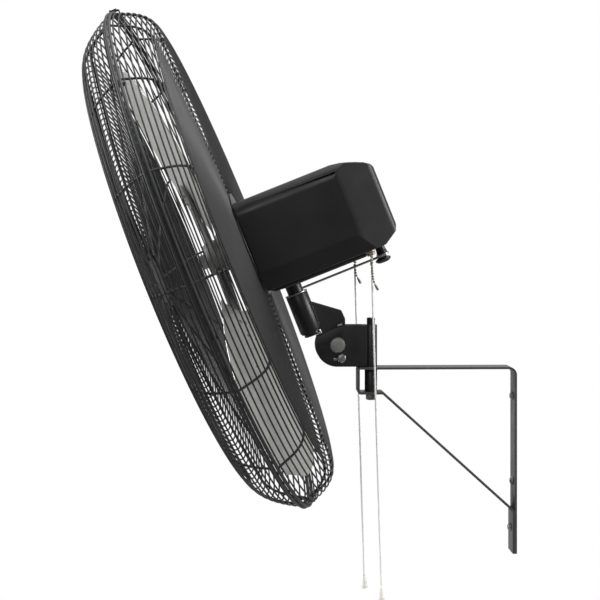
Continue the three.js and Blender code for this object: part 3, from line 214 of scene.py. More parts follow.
def plate(name: str, outline: Sequence[Pair], axis: Axis, low: float, high: float) -> Piece:
    """A flat outline, filled and extruded along an axis from low to high.

    The outline's points are (y, z) for a plate across SIDEWAYS, (x, z) for REARWARD and (x, y) for UPRIGHT.
    """
    along = (Axis.SIDEWAYS, Axis.REARWARD, Axis.UPRIGHT).index(axis)
    points = [(*point[:along], low, *point[along:]) for point in outline]
    piece = mesh_object(name, points, [], [list(range(len(points)))])
    step = [0.0, 0.0, 0.0]
    step[along] = high - low
    edit_all(piece)
    bpy.ops.mesh.select_mode(type="FACE")
    bpy.ops.mesh.extrude_region_move(TRANSFORM_OT_translate={"value": tuple(step)})
    close_edit()
    return mend(piece)


def arc(middle: Pair, radius: float, start: float, end: float, steps: int = 12) -> list[Pair]:
    """Points on an arc, from its first angle to its last one in degrees."""
    angles = [math.radians(start + (end - start) * i / steps) for i in range(steps + 1)]
    return [(middle[0] + radius * math.cos(a), middle[1] + radius * math.sin(a)) for a in angles]


def thick_curve(
    name: str, points: Sequence[Sequence[float]], radius: float, curved: bool, sides: int
) -> Piece:
    """A round curve that runs through points, or turns at them.

    Args:
        name: The piece's name.
        points: The points that it follows.
        radius: Its radius.
        curved: Whether it curves through the points.
        sides: Its bevel resolution.
    """
    curve = bpy.data.curves.new(name, "CURVE")
    curve.dimensions = "3D"
    curve.bevel_depth = radius
    curve.bevel_resolution = sides
    curve.use_fill_caps = True
    spline = curve.splines.new("BEZIER" if curved else "POLY")
    knots = spline.bezier_points if curved else spline.points
    knots.add(len(points) - 1)
    for knot, point in zip(knots, points):
        knot.co = point if curved else (*point, 1)
        if curved:
            knot.handle_left_type = knot.handle_right_type = "AUTO"
    spline.resolution_u = CURVE_STEPS
    return new_object(name, curve)


def round_bar(
    name: str, points: Sequence[Sequence[float]], radius: float, curved: bool = True, sides: int = 4
) -> Piece:
    """A round bar along points, as a mesh."""
    piece = thick_curve(name, points, radius, curved, sides)
    take_up(piece)
    bpy.ops.object.convert(target="MESH")
    mend(piece, 0.001)
    return smooth(piece, 50)


def torus(
    name: str, radius: float, wire: float, along: float, axis: Axis, around: int, across: int = 6
) -> Piece:
    """A ring of round wire."""
    bpy.ops.mesh.primitive_torus_add(
        major_radius=radius, minor_radius=wire, major_segments=around, minor_segments=across
    )
    piece = bpy.context.active_object
    piece.name = name
    piece.data.transform(axis.value @ Matrix.Translation((0, 0, along)))
    return piece


def join(name: str, pieces: Sequence[Piece]) -> Piece:
    """Joins pieces into one object."""
    take_up(pieces[0])
    for piece in pieces[1:]:
        piece.select_set(True)
    bpy.ops.object.join()
    whole = bpy.context.active_object
    whole.name = name
    whole.data.name = name
    return whole


def copy_piece(piece: Piece, matrix: Matrix) -> Piece:
    """A copy of a piece, with its own mesh, moved by a matrix."""
    copy = new_object("copy", piece.data.copy())
    copy.data.transform(matrix)
    return copy


def copies_round(piece: Piece, turns: Sequence[float]) -> list[Piece]:
    """Copies of a piece that take its place, each turned round the Y axis by so many degrees."""
    copies = [copy_piece(piece, Matrix.Rotation(math.radians(turn), 4, "Y")) for turn in turns]
    bpy.data.objects.remove(piece)
    return copies


def carve(piece: Piece, *cutters: Piece) -> Piece:
    """Cuts pieces out of another, and removes them."""
    for cutter in cutters:
        apply_modifier(piece, "BOOLEAN", operation="DIFFERENCE", solver="EXACT", object=cutter)
        bpy.data.objects.remove(cutter)
    return piece


def refined(node: str, width: float, segments: int = 2, degrees: float = 30.0) -> Piece:
    """A copy of a solid in metres, with its flat faces whole and its edges rounded by a width in mm."""
    mesh = frame["nodes"][node].data.copy()
    mesh.materials.clear()
    piece = new_object(f"{node}_shape", mesh)
    edit_all(piece)
    bpy.ops.mesh.customdata_custom_splitnormals_clear()
    bpy.ops.mesh.remove_doubles(threshold=0.02 * MILLIMETRE)
    bpy.ops.mesh.dissolve_limited(angle_limit=math.radians(1.0))
    close_edit()
    return soften(piece, width * MILLIMETRE, segments, degrees)


# ------------------------------------------------------------------ finishes
def linear(colour: int) -> tuple[float, float, float, float]:
    """A colour as the shaders take it."""
    parts = [((colour >> shift) & 255) / 255 for shift in (16, 8, 0)]
    light = [p / 12.92 if p <= 0.04045 else ((p + 0.055) / 1.055) ** 2.4 for p in parts]
    return (light[0], light[1], light[2], 1.0)


GRAIN_SCALE, CLOUD_SCALE, SPECK_SCALE = 900, 23, 260  # of the noises, per metre
SCRATCH_SCALE, STREAK_SCALE = 1400, 120  # of the brushed sheet's noises
STREAK_SQUEEZE = 0.03  # how far a streak is drawn out
# of the edge mask, which marks rubbed edges on most finishes and painted shade along the strap's edges
WEAR_AND_SHADE_RADIUS, WEAR_AND_SHADE_GAIN = 0.0012, 14.0
BRAID_CLIMB, BRAID_STRANDS = 3000.0, 3.0  # radians per metre, and strands each way round


class Effect(Enum):
    """The node groups that the materials share."""

    GRAIN = "surface_grain"
    WEAR = "edge_wear_and_shade"
    BRUSHED = "brushed_streaks"
    BRAID = "cord_braid"


def new_group(effect: Effect, inputs: dict[str, float | None], *outputs: str) -> tuple[Tree, Node, Node]:
    """Starts a shader node group, and gives it with its input and output nodes.

    Args:
        effect: Which group it is.
        inputs: Each input's name and value. One without a value takes a vector.
        *outputs: The names of its values.
    """
    tree = bpy.data.node_groups.new(effect.value, "ShaderNodeTree")
    for name, value in inputs.items():
        kind = "NodeSocketVector" if value is None else "NodeSocketFloat"
        socket = tree.interface.new_socket(name, in_out="INPUT", socket_type=kind)
        if value is not None:
            socket.default_value = value
    for name in outputs:
        tree.interface.new_socket(name, in_out="OUTPUT", socket_type="NodeSocketFloat")
    return tree, tree.nodes.new("NodeGroupInput"), tree.nodes.new("NodeGroupOutput")


def node_in(tree: Tree, kind: str, sources: dict[str | int, object], **settings: object) -> Node:
    """Adds a node, with its settings and with a value or a source for each input that is named."""
    node = tree.nodes.new(f"ShaderNode{kind}")
    for name, value in settings.items():
        setattr(node, name, value)
    for name, source in sources.items():
        if isinstance(source, bpy.types.NodeSocket):
            tree.links.new(source, node.inputs[name])
        else:
            node.inputs[name].default_value = source
    return node


def noise_in(tree: Tree, vector: Socket, scale: float, detail: float) -> Socket:
    """A noise at a fixed scale, per metre."""
    return node_in(tree, "TexNoise", {"Vector": vector, "Scale": scale, "Detail": detail}).outputs["Fac"]


def math_in(tree: Tree, operation: str, *sources: Socket | float, clamp: bool = False) -> Socket:
    """The result of a math node, which stays from 0 to 1 where it is clamped."""
    return node_in(tree, "Math", dict(enumerate(sources)), operation=operation, use_clamp=clamp).outputs[0]


def grain_group() -> Tree:
    """Fine orange peel as Height, over slow cloudy variation as Cloud."""
    tree, source, sink = new_group(Effect.GRAIN, {"Vector": None}, "Height", "Cloud")
    where = source.outputs["Vector"]
    slow = noise_in(tree, where, CLOUD_SCALE, 4)
    tree.links.new(noise_in(tree, where, GRAIN_SCALE, 3), sink.inputs["Height"])
    tree.links.new(math_in(tree, "MULTIPLY_ADD", slow, 2.4, -0.7, clamp=True), sink.inputs["Cloud"])
    return tree


def wear_and_shade_group() -> Tree:
    """A mask of sharp edges, where the rounded normal leaves the true one, broken up by noise: rubbed edges
    on most finishes, and painted shade along the strap's edges.
    """
    tree, source, sink = new_group(
        Effect.WEAR, {"Vector": None, "Radius": WEAR_AND_SHADE_RADIUS, "Amount": 0.5}, "Mask"
    )
    rounded = node_in(tree, "Bevel", {"Radius": source.outputs["Radius"]}, samples=4).outputs["Normal"]
    true = node_in(tree, "NewGeometry", {}).outputs["Normal"]
    dot = node_in(tree, "VectorMath", {0: rounded, 1: true}, operation="DOT_PRODUCT").outputs["Value"]
    bend = math_in(tree, "SUBTRACT", 1.0, dot, clamp=True)
    speck = noise_in(tree, source.outputs["Vector"], SPECK_SCALE, 5)
    broken = math_in(tree, "SUBTRACT", speck, 0.38, clamp=True)
    edge = math_in(tree, "MULTIPLY", math_in(tree, "MULTIPLY", bend, broken), WEAR_AND_SHADE_GAIN, clamp=True)
    tree.links.new(math_in(tree, "MULTIPLY", edge, source.outputs["Amount"]), sink.inputs["Mask"])
    return tree


def brushed_group() -> Tree:
    """Streaks along one direction of the sheet, fine ones as Height and wide ones as Streak."""
    tree, source, sink = new_group(Effect.BRUSHED, {"Vector": None}, "Height", "Streak")
    scale = {"Vector": source.outputs["Vector"], "Scale": (1.0, 1.0, STREAK_SQUEEZE)}
    where = node_in(tree, "Mapping", scale).outputs["Vector"]
    wide = noise_in(tree, where, STREAK_SCALE, 3)
    tree.links.new(noise_in(tree, where, SCRATCH_SCALE, 4), sink.inputs["Height"])
    tree.links.new(math_in(tree, "MULTIPLY_ADD", wide, 1.8, -0.4, clamp=True), sink.inputs["Streak"])
    return tree


def braid_group() -> Tree:
    """A braid's crossing strands on an upright cord, as Height."""
    tree, source, sink = new_group(Effect.BRAID, {"Vector": None, "Normal": None}, "Height")
    height = node_in(tree, "SeparateXYZ", {0: source.outputs["Vector"]}).outputs["Z"]
    facing = node_in(tree, "SeparateXYZ", {0: source.outputs["Normal"]}).outputs
    angle = math_in(tree, "ARCTAN2", facing["X"], facing["Y"])
    climb = math_in(tree, "MULTIPLY", height, BRAID_CLIMB)
    strands = math_in(tree, "MULTIPLY", angle, BRAID_STRANDS)
    left, right = (math_in(tree, "SINE", math_in(tree, way, climb, strands)) for way in ("ADD", "SUBTRACT"))
    tree.links.new(math_in(tree, "MULTIPLY", left, right), sink.inputs["Height"])
    return tree


GROUP_BUILDERS = {
    Effect.GRAIN: grain_group,
    Effect.WEAR: wear_and_shade_group,
    Effect.BRUSHED: brushed_group,
    Effect.BRAID: braid_group,
}


@dataclass(frozen=True)
class Finish:
    """A surface finish.

    Attributes:
        name: The material's name.
        slot: The record's material slot that it stands for.
        colour: Its colour, as 0xRRGGBB.
        cloud: The colour that it varies to.
        rough: Its lowest and highest roughness.
        bump: The grain's depth, in mm.
        metal: 1 on bare metal.
        wear_and_shade: How strongly its edges take their edge colour.
        wear_and_shade_colour: The colour of its edges: lighter where most finishes are rubbed, and darker
            on the strap, where it is painted shade.
        effect: The effect that shapes its surface.
    """

    name: str
    slot: str
    colour: int
    cloud: int
    rough: Pair
    bump: float = 0.02
    metal: float = 0.0
    wear_and_shade: float = 0.0
    wear_and_shade_colour: int = 0x8A8A88
    effect: Effect = Effect.GRAIN

    def material(self) -> bpy.types.Material:
        """The finish as a material, made the first time that it is asked for."""
        return bpy.data.materials.get(self.name) or self.build()

    def place_group(self, tree: Tree, effect: Effect) -> Node:
        """Puts an effect's group into a material, fed with the piece's own coordinates."""
        group = tree.nodes.new("ShaderNodeGroup")
        group.node_tree = bpy.data.node_groups.get(effect.value) or GROUP_BUILDERS[effect]()
        where = tree.nodes.new("ShaderNodeTexCoord")
        tree.links.new(where.outputs["Object"], group.inputs["Vector"])
        if "Normal" in group.inputs:
            tree.links.new(where.outputs["Normal"], group.inputs["Normal"])
        return group

    def mix(self, tree: Tree, mask: Socket, start: Socket | int, end: int) -> Socket:
        """A colour that goes from a first one to a second one by a mask."""
        first = linear(start) if isinstance(start, int) else start
        sources = {"Factor": mask, "A": first, "B": linear(end)}
        return node_in(tree, "Mix", sources, data_type="RGBA").outputs["Result"]

    def build(self) -> bpy.types.Material:
        """Makes the material."""
        material = bpy.data.materials.new(self.name)
        material.use_nodes = True
        tree = material.node_tree
        grain = self.place_group(tree, Effect.GRAIN)
        form = grain if self.effect is Effect.GRAIN else self.place_group(tree, self.effect)
        colour = self.mix(tree, grain.outputs["Cloud"], self.colour, self.cloud)
        # tints the edges: lighter where most finishes are rubbed, darker on the strap as painted shade
        if self.wear_and_shade:
            wear_and_shade = self.place_group(tree, Effect.WEAR)
            wear_and_shade.inputs["Amount"].default_value = self.wear_and_shade
            colour = self.mix(tree, wear_and_shade.outputs["Mask"], colour, self.wear_and_shade_colour)
        varied = form.outputs.get("Streak") or grain.outputs["Cloud"]
        spread = node_in(
            tree, "MapRange", {"Value": varied, "To Min": self.rough[0], "To Max": self.rough[1]}
        )
        bump = node_in(tree, "Bump", {"Distance": self.bump * MILLIMETRE, "Height": form.outputs["Height"]})
        shader = tree.nodes["Principled BSDF"].inputs
        shader["Metallic"].default_value = self.metal
        tree.links.new(colour, shader["Base Color"])
        tree.links.new(spread.outputs["Result"], shader["Roughness"])
        tree.links.new(bump.outputs["Normal"], shader["Normal"])
        return material


BLACK_PAINT = Finish(
    "satin_black_paint", "black_paint", 0x101011, 0x151517, (0.34, 0.46), 0.03, wear_and_shade=0.45, wear_and_shade_colour=0x4A4A4C
)
HOUSING_PAINT = Finish(
    "housing_black_paint", "black_paint", 0x0D0D0E, 0x111112, (0.36, 0.46), 0.04, wear_and_shade=0.35, wear_and_shade_colour=0x303032
)
# the strap's edge colour is darker than its paint: painted shade along every sharp edge of the strap
STRAP_PAINT_AND_EDGE_SHADE = Finish(
    "grey_strap_paint_and_edge_shade", "strap_paint", 0x39393B, 0x404042, (0.42, 0.55), wear_and_shade=0.8, wear_and_shade_colour=0x242425
)
WIRE_COAT = Finish("guard_wire_coating", "guard_wire", 0x121213, 0x161618, (0.56, 0.66), 0.01)
SHEET = Finish(
    "blade_sheet", "aluminium", 0xD6D6D1, 0xC8C8C3, (0.26, 0.36), 0.004, 0.74, effect=Effect.BRUSHED
)
CAST = Finish("cast_metal", "cast_aluminium", 0x8E8E8C, 0x7F7F7D, (0.5, 0.65), 0.08, 0.8, wear_and_shade=0.3)
ZINC = Finish("bright_zinc", "zinc", 0xA2A29F, 0x8F8F8C, (0.28, 0.42), 0.02, 0.9)
BOLT_GREY = Finish(
    "dull_bolt", "bolt_grey", 0x8A8A87, 0x7C7C7A, (0.4, 0.55), 0.02, 0.6, wear_and_shade=0.6, wear_and_shade_colour=0xAAAAA8
)
STEEL = Finish("machined_steel", "steel", 0x77787A, 0x6B6C6E, (0.3, 0.42), 0.01, 1.0)
STEEL_DARK = Finish("blackened_steel", "zinc", 0x2A2A2B, 0x222223, (0.4, 0.55), 0.02, 0.5)
CHAIN_METAL = Finish("chain_metal", "brass", 0xA39E8E, 0x8B8674, (0.25, 0.4), 0.01, 0.9)
MOULDED = Finish("moulded_black", "black_plastic", 0x1B1B1C, 0x202022, (0.42, 0.55), 0.03)
WINDING = Finish("varnished_winding", "copper_wound", 0x8A5A33, 0x6E4526, (0.4, 0.6), 0.2, 0.3)
CORD = Finish("braided_cord", "white_cord", 0xF0F0ED, 0xEAEAE6, (0.75, 0.85), 0.16, effect=Effect.BRAID)
BELL_PLASTIC = Finish("bell_plastic", "white_plastic", 0xECEAE5, 0xE6E4DD, (0.32, 0.42), 0.01)
CAD_FINISHES = {
    finish.slot: finish
    for finish in (
        BLACK_PAINT, STRAP_PAINT_AND_EDGE_SHADE, WIRE_COAT, SHEET, CAST, ZINC, BOLT_GREY, STEEL, CHAIN_METAL, MOULDED,
        WINDING, CORD, BELL_PLASTIC,
    )
}


def fit(piece: Piece, finish: Finish, body: str, *nodes: str, place: Place = Place.WALL) -> Piece:
    """Settles a finished piece: its place goes into its mesh, and it gets its finish and its body.

    Args:
        piece: The piece, drawn in its frame.
        finish: Its finish.
        body: The body that carries it.
        *nodes: The solids that it stands for.
        place: The frame that it was drawn in.
    """
    if place is not Place.METRES:
        piece.data.transform(place.value @ piece.matrix_world)
        piece.matrix_world = Matrix.Identity(4)
    piece.data.materials.clear()
    piece.data.materials.append(finish.material())
    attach(piece, body)
    if nodes:
        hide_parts(*nodes)
    return piece


def fit_refined(
    node: str, finish: Finish, body: str, width: float, segments: int = 2, degrees: float = 30.0
) -> None:
    """Dresses a solid in a copy of itself with rounded edges."""
    fit(refined(node, width, segments, degrees), finish, body, node, place=Place.METRES)


# ------------------------------------------------------------------ studio
@dataclass
class Studio:
    """The camera, the lamps, the world and the floor, in metres.

    Attributes:
        camera_at: Where the camera stands.
        aim: The point that it looks at.
        middle: The point that the lamps face.
        lens: Its focal length, in mm.
        sensor: The width of its picture, in mm.
        shift: How far the picture is shifted up, as a share of its side.
        floor_height: Where the floor lies.
        floor_size: The floor's side.
        floor_grey: How light the floor is to the lamps.
        floor_white: How much of the white that the camera sees there is its own.
        sky: How bright the world is in mirrors.
        sky_behind: How much brighter it grows towards the camera's own side, which is +X.
        sky_soft: What it adds to the light on matt surfaces.
        lamps: Each lamp's name, place, size and power.
    """

    camera_at: Triple = (2.278, -0.4165, 0.3584)
    aim: Triple = (0.0, -0.3285, 0.351)
    middle: Triple = (0.0, -0.33, 0.24)
    lens: float = 90.0
    sensor: float = 36.0
    shift: float = -0.12
    floor_height: float = -0.75
    floor_size: float = 2.0
    floor_grey: float = 0.35
    floor_white: float = 0.985
    sky: float = 0.2
    sky_behind: float = -0.55
    sky_soft: float = 0.3
    lamps: tuple[tuple[str, Triple, float, float], ...] = (
        ("top_lamp", (-0.25, 0.1, 2.7), 1.9, 88.0),
        ("room_lamp", (-0.5, -2.9, 0.9), 1.7, 80.0),
        ("wall_lamp", (0.8, 2.4, 1.2), 1.5, 60.0),
        ("side_lamp", (2.9, -1.2, 1.5), 0.8, 14.0),
    )

    def stand(self, name: str, data: bpy.types.ID, at: Triple, target: Triple) -> Piece:
        """Puts up a camera or a lamp, and turns it to face a point."""
        thing = new_object(name, data)
        thing.location = at
        thing.rotation_euler = (Vector(target) - Vector(at)).to_track_quat("-Z", "Y").to_euler()
        return thing

    def set_camera(self) -> None:
        """Puts the camera at the photograph's angle."""
        data = bpy.data.cameras.new("camera")
        data.lens = self.lens
        data.sensor_width = self.sensor
        data.shift_y = self.shift
        bpy.context.scene.camera = self.stand("camera", data, self.camera_at, self.aim)

    def hang_lamps(self) -> None:
        """Puts up the lamps."""
        for name, at, size, power in self.lamps:
            data = bpy.data.lights.new(name, "AREA")
            data.shape = "DISK"
            data.size = size
            data.energy = power
            self.stand(name, data, at, self.middle)

    def light_world(self) -> None:
        """Makes the world, which the camera sees as white and the mirrors see as a soft gradient."""
        world = bpy.data.worlds.new("studio")
        bpy.context.scene.world = world
        world.use_nodes = True
        tree = world.node_tree
        ray = node_in(tree, "LightPath", {}).outputs
        seen = math_in(tree, "MAXIMUM", ray["Is Camera Ray"], ray["Is Transmission Ray"])
        way = node_in(tree, "TexCoord", {}).outputs["Generated"]
        across = node_in(tree, "SeparateXYZ", {0: way}).outputs["X"]
        behind = math_in(tree, "MAXIMUM", math_in(tree, "MULTIPLY", across, self.sky_behind), 0.0)
        soft = math_in(tree, "MULTIPLY", ray["Is Diffuse Ray"], self.sky_soft)
        unseen = math_in(tree, "ADD", math_in(tree, "ADD", behind, self.sky), soft)
        background = tree.nodes["Background"].inputs
        background["Color"].default_value = (1, 1, 1, 1)
        tree.links.new(math_in(tree, "MAXIMUM", seen, unseen), background["Strength"])

    def lay_floor(self) -> None:
        """Lays the floor, which the camera sees as white."""
        bpy.ops.mesh.primitive_plane_add(
            size=self.floor_size, location=(0, self.middle[1], self.floor_height)
        )
        floor = bpy.context.active_object
        floor.name = "studio_floor"
        material = bpy.data.materials.new("pale_floor")
        material.use_nodes = True
        tree = material.node_tree
        shader = tree.nodes["Principled BSDF"]
        shader.inputs["Base Color"].default_value = (self.floor_grey,) * 3 + (1,)
        shader.inputs["Roughness"].default_value = 0.9
        glow = node_in(tree, "Emission", {}).outputs["Emission"]
        seen = node_in(tree, "LightPath", {}).outputs["Is Camera Ray"]
        share = math_in(tree, "MULTIPLY", seen, self.floor_white)
        blend = node_in(tree, "MixShader", {"Fac": share, 1: shader.outputs["BSDF"], 2: glow})
        tree.links.new(blend.outputs["Shader"], tree.nodes["Material Output"].inputs["Surface"])
        floor.data.materials.append(material)

    def build(self) -> None:
        """Sets up the studio."""
        bpy.context.scene.view_settings.view_transform = "Standard"
        self.set_camera()
        self.hang_lamps()
        self.light_world()
        self.lay_floor()


# ------------------------------------------------------------------ pull chains and cords
@dataclass
class PullCord:
    """One pull: a bead chain from the switch, a cord tied into it and a bell on the cord's end.

    Attributes:
        which: near or far.
        hook: The chain's pivot in the nozzle's mouth, in mm.
        tail: How far the chain's tail hangs.
        length: The cord's length.
    """

    which: str
    hook: Triple
    tail: float
    length: float
    lean: float = math.tan(math.radians(1.7))
    start: float = 2.3
    bead_radius: float = 1.7
    bead_pitch: float = 3.9
    cord_radius: float = 1.4
    bell_radius: float = 5.5
    bell_height: float = 19.0
    end_length: float = 8.0
    cord_points: int = 17
    link_radius: float = 0.55
    doubled_beads: int = 3
    doubled: tuple[Triple, ...] = ((1.2, -0.7, 0), (-1.2, 0.9, -0.6))

    @property
    def body(self) -> str:
        """The body that swings with the pull."""
        return f"{self.which}_pull"

    @property
    def tie(self) -> float:
        """How far down the chain the cord is tied in."""
        return self.start + 9

    @property
    def beside(self) -> float:
        """How far the cord hangs beside the chain."""
        return -(self.bead_radius + self.cord_radius + GAP)

    def hang(self, down: float, out: float = 0.0, aside: float = 0.0) -> Vector:
        """A point on the hanging pull."""
        return Vector((self.hook[0] + aside, self.hook[1] + down * self.lean + out, self.hook[2] - down))

    def chain_point(self, share: float) -> Vector:
        """A point on the chain's route."""
        bend = self.tail - self.end_length
        knots = [
            (self.start, 0.0), (self.start + 7, 0.0), (self.start + 14, 0.4), (bend * 0.6, 0.6),
            (bend * 0.85, 1.6), (bend, 4.2),
        ]
        down = self.start + (bend - self.start) * share
        for (low, low_out), (high, high_out) in zip(knots, knots[1:]):
            if down <= high + 1e-6:
                part = (down - low) / (high - low)
                return self.hang(down, low_out + (high_out - low_out) * part)
        return self.hang(bend, 4.2)

    def build_cord(self) -> None:
        """The cord, its bell and its knot."""
        last = self.cord_points - 1
        downs = [self.tie + self.length * i / last for i in range(self.cord_points)]
        points = [self.hang(down, 0, self.beside) * MILLIMETRE for down in downs]
        cord = thick_curve(f"{self.which}_pull_cord", points, self.cord_radius * MILLIMETRE, False, 5)
        fit(cord, CORD, self.body, f"{self.which}_cord", place=Place.METRES)
        bell = self.build_bell()
        knot = self.build_knot()

    def build_bell(self) -> Piece:
        """The tapered bell on the cord's end."""
        radius, height = self.bell_radius, self.bell_height
        neck = self.cord_radius + 0.5
        profile = [
            (0, 0), (neck, 0), (neck + 0.5, -0.5), (neck + 0.9, -3.0), (neck + 1.5, -5.0),
            (radius - 0.5, -height + 4.4), (radius, -height + 2.6), (radius, -height + 1.4),
            (radius - 0.5, -height + 0.4), (radius - 1.2, -height), (radius - 2.0, -height + 0.6),
            (0, -height + 1.0),
        ]
        bell = turned(f"{self.which}_cord_bell", profile, Axis.UPRIGHT, 48)
        apply_modifier(bell, "SUBSURF", levels=1, render_levels=1)
        foot = self.hang(self.tie + self.length + GAP, 0, self.beside)
        bell.data.transform(Matrix.Translation(foot) @ Matrix.Rotation(math.atan(self.lean), 4, "X"))
        return fit(smooth(bell, 60), BELL_PLASTIC, self.body, f"{self.which}_bell")

    def build_knot(self) -> Piece:
        """The knot that ties the cord to the chain, round the cord's top."""
        turns = []
        for lean, drop in ((0.5, 0.8), (-0.55, 1.9), (0.15, 3.1)):
            ring = torus("turn", self.cord_radius + 0.5, 0.75, 0, Axis.UPRIGHT, 24, 8)
            middle = self.hang(self.tie + drop, 0, self.beside)
            ring.data.transform(Matrix.Translation(middle) @ Matrix.Rotation(lean, 4, "X"))
            turns.append(ring)
        knot = join(f"{self.which}_cord_knot", turns)
        return fit(smooth(knot, 60), CORD, self.body)

    def build_chain(self) -> None:
        """The bead chain, doubled at its top."""
        run = self.tail - self.end_length - self.start
        count = int(run / self.bead_pitch)
        bpy.ops.mesh.primitive_uv_sphere_add(segments=14, ring_count=10, radius=self.bead_radius)
        bead = bpy.context.active_object
        beads = []
        for i in range(count + 1):
            point = self.chain_point(i / count)
            for aside in self.doubled if i < self.doubled_beads else [(0, 0, 0)]:
                beads.append(copy_piece(bead, Matrix.Translation(point + Vector(aside))))
        bpy.data.objects.remove(bead)
        core = [self.chain_point(i / 12) for i in range(13)]
        beads.append(round_bar("links", core, self.link_radius, False, 2))
        chain = join(f"{self.which}_bead_chain", beads)
        fit(smooth(chain, 60), CHAIN_METAL, self.body, f"{self.which}_chain")

    def build_chain_end(self) -> None:
        """The tapered end on the chain's tail."""
        tip, foot = self.hang(self.tail - self.end_length - 0.2, 3.9), self.hang(self.tail, 8.4)
        length = (foot - tip).length
        profile = [
            (0, 0), (1.3, 0), (1.6, 0.8), (2.1, length * 0.6), (1.9, length - 0.7), (1.2, length),
            (0, length),
        ]
        end = turned(f"{self.which}_chain_end", profile, Axis.UPRIGHT, 20)
        turn = (foot - tip).to_track_quat("Z", "Y").to_matrix().to_4x4()
        end.data.transform(Matrix.Translation(tip) @ turn)
        fit(end, BOLT_GREY, self.body)

    def build(self) -> None:
        """Makes the whole pull."""
        self.build_cord()
        self.build_chain()
        self.build_chain_end()


# ------------------------------------------------------------------ guard
@dataclass
class GuardHalf:
    """Half of the wire cage.

    Attributes:
        name: The piece's name.
        node: The solid that it stands for.
        side: -1 at the front and 1 at the rear.
        centre: How far its wires stand off the joint at the middle.
        shoulder: How far they stand off where the dome turns down.
        power: How square the turn-down is.
        first_ring: The innermost ring's radius.
    """

    name: str
    node: str
    side: int
    centre: float
    shoulder: float
    power: float
    first_ring: float = 50.0
    radius: float = 400.0
    rim_wire: float = 2.5
    rim_apart: float = 2.75
    ring_wire: float = 1.25
    rib_wire: float = 1.8
    shoulder_radius: float = 335.0
    rib_count: int = 16
    rib_phase: float = 2.0
    ring_pitch: float = 8.0
    weld_depth: float = 0.7
    rib_stations: tuple[float, ...] = (100, 150, 200, 250, 300, 322, 335, 348, 360, 370, 379, 386, 392)

    @property
    def rim_radius(self) -> float:
        """Radius of the rim wire's middle."""
        return self.radius - self.rim_wire - 0.4

    def depth(self, radius: float) -> float:
        """How far the wires stand off the joint."""
        if radius <= self.shoulder_radius:
            return self.centre - (self.centre - self.shoulder) * (radius / self.shoulder_radius) ** 2
        share = (radius - self.shoulder_radius) / (self.rim_radius - self.shoulder_radius)
        return max(self.shoulder * (1 - share**self.power), self.rim_apart)

    def ring_radii(self) -> list[float]:
        """The rings' radii, at an even pitch along the dome."""
        found = [self.first_ring]
        radius, run = self.first_ring, 0.0
        step = 0.25
        while radius < self.rim_radius - 1.2:
            run += math.hypot(step, self.depth(radius + step) - self.depth(radius))
            radius += step
            if run >= self.ring_pitch:
                found.append(radius)
                run = 0.0
        return found

    def build(self) -> None:
        """Makes the half."""
        wires = []
        lapped = (self.rib_wire + self.ring_wire - self.weld_depth) / 2
        for radius in self.ring_radii():
            around = 48 + int(radius / 5)
            along = self.side * (self.depth(radius) + lapped)
            wires.append(torus("ring", radius, self.ring_wire, along, Axis.REARWARD, around))
        rim = self.side * self.rim_apart
        wires.append(torus("rim", self.rim_radius, self.rim_wire, rim, Axis.REARWARD, 160, 10))
        stations = (self.first_ring - 1.5, *self.rib_stations)
        route = [(0, self.side * (self.depth(r) - lapped), r) for r in stations]
        route.append((0, rim, self.rim_radius))
        rib = round_bar("rib", route, self.rib_wire, True, 2)
        turns = [self.rib_phase + 360 * i / self.rib_count for i in range(self.rib_count)]
        cage = join(self.name, wires + copies_round(rib, turns))
        fit(smooth(cage, 70), WIRE_COAT, "head", self.node, place=Place.HEAD)


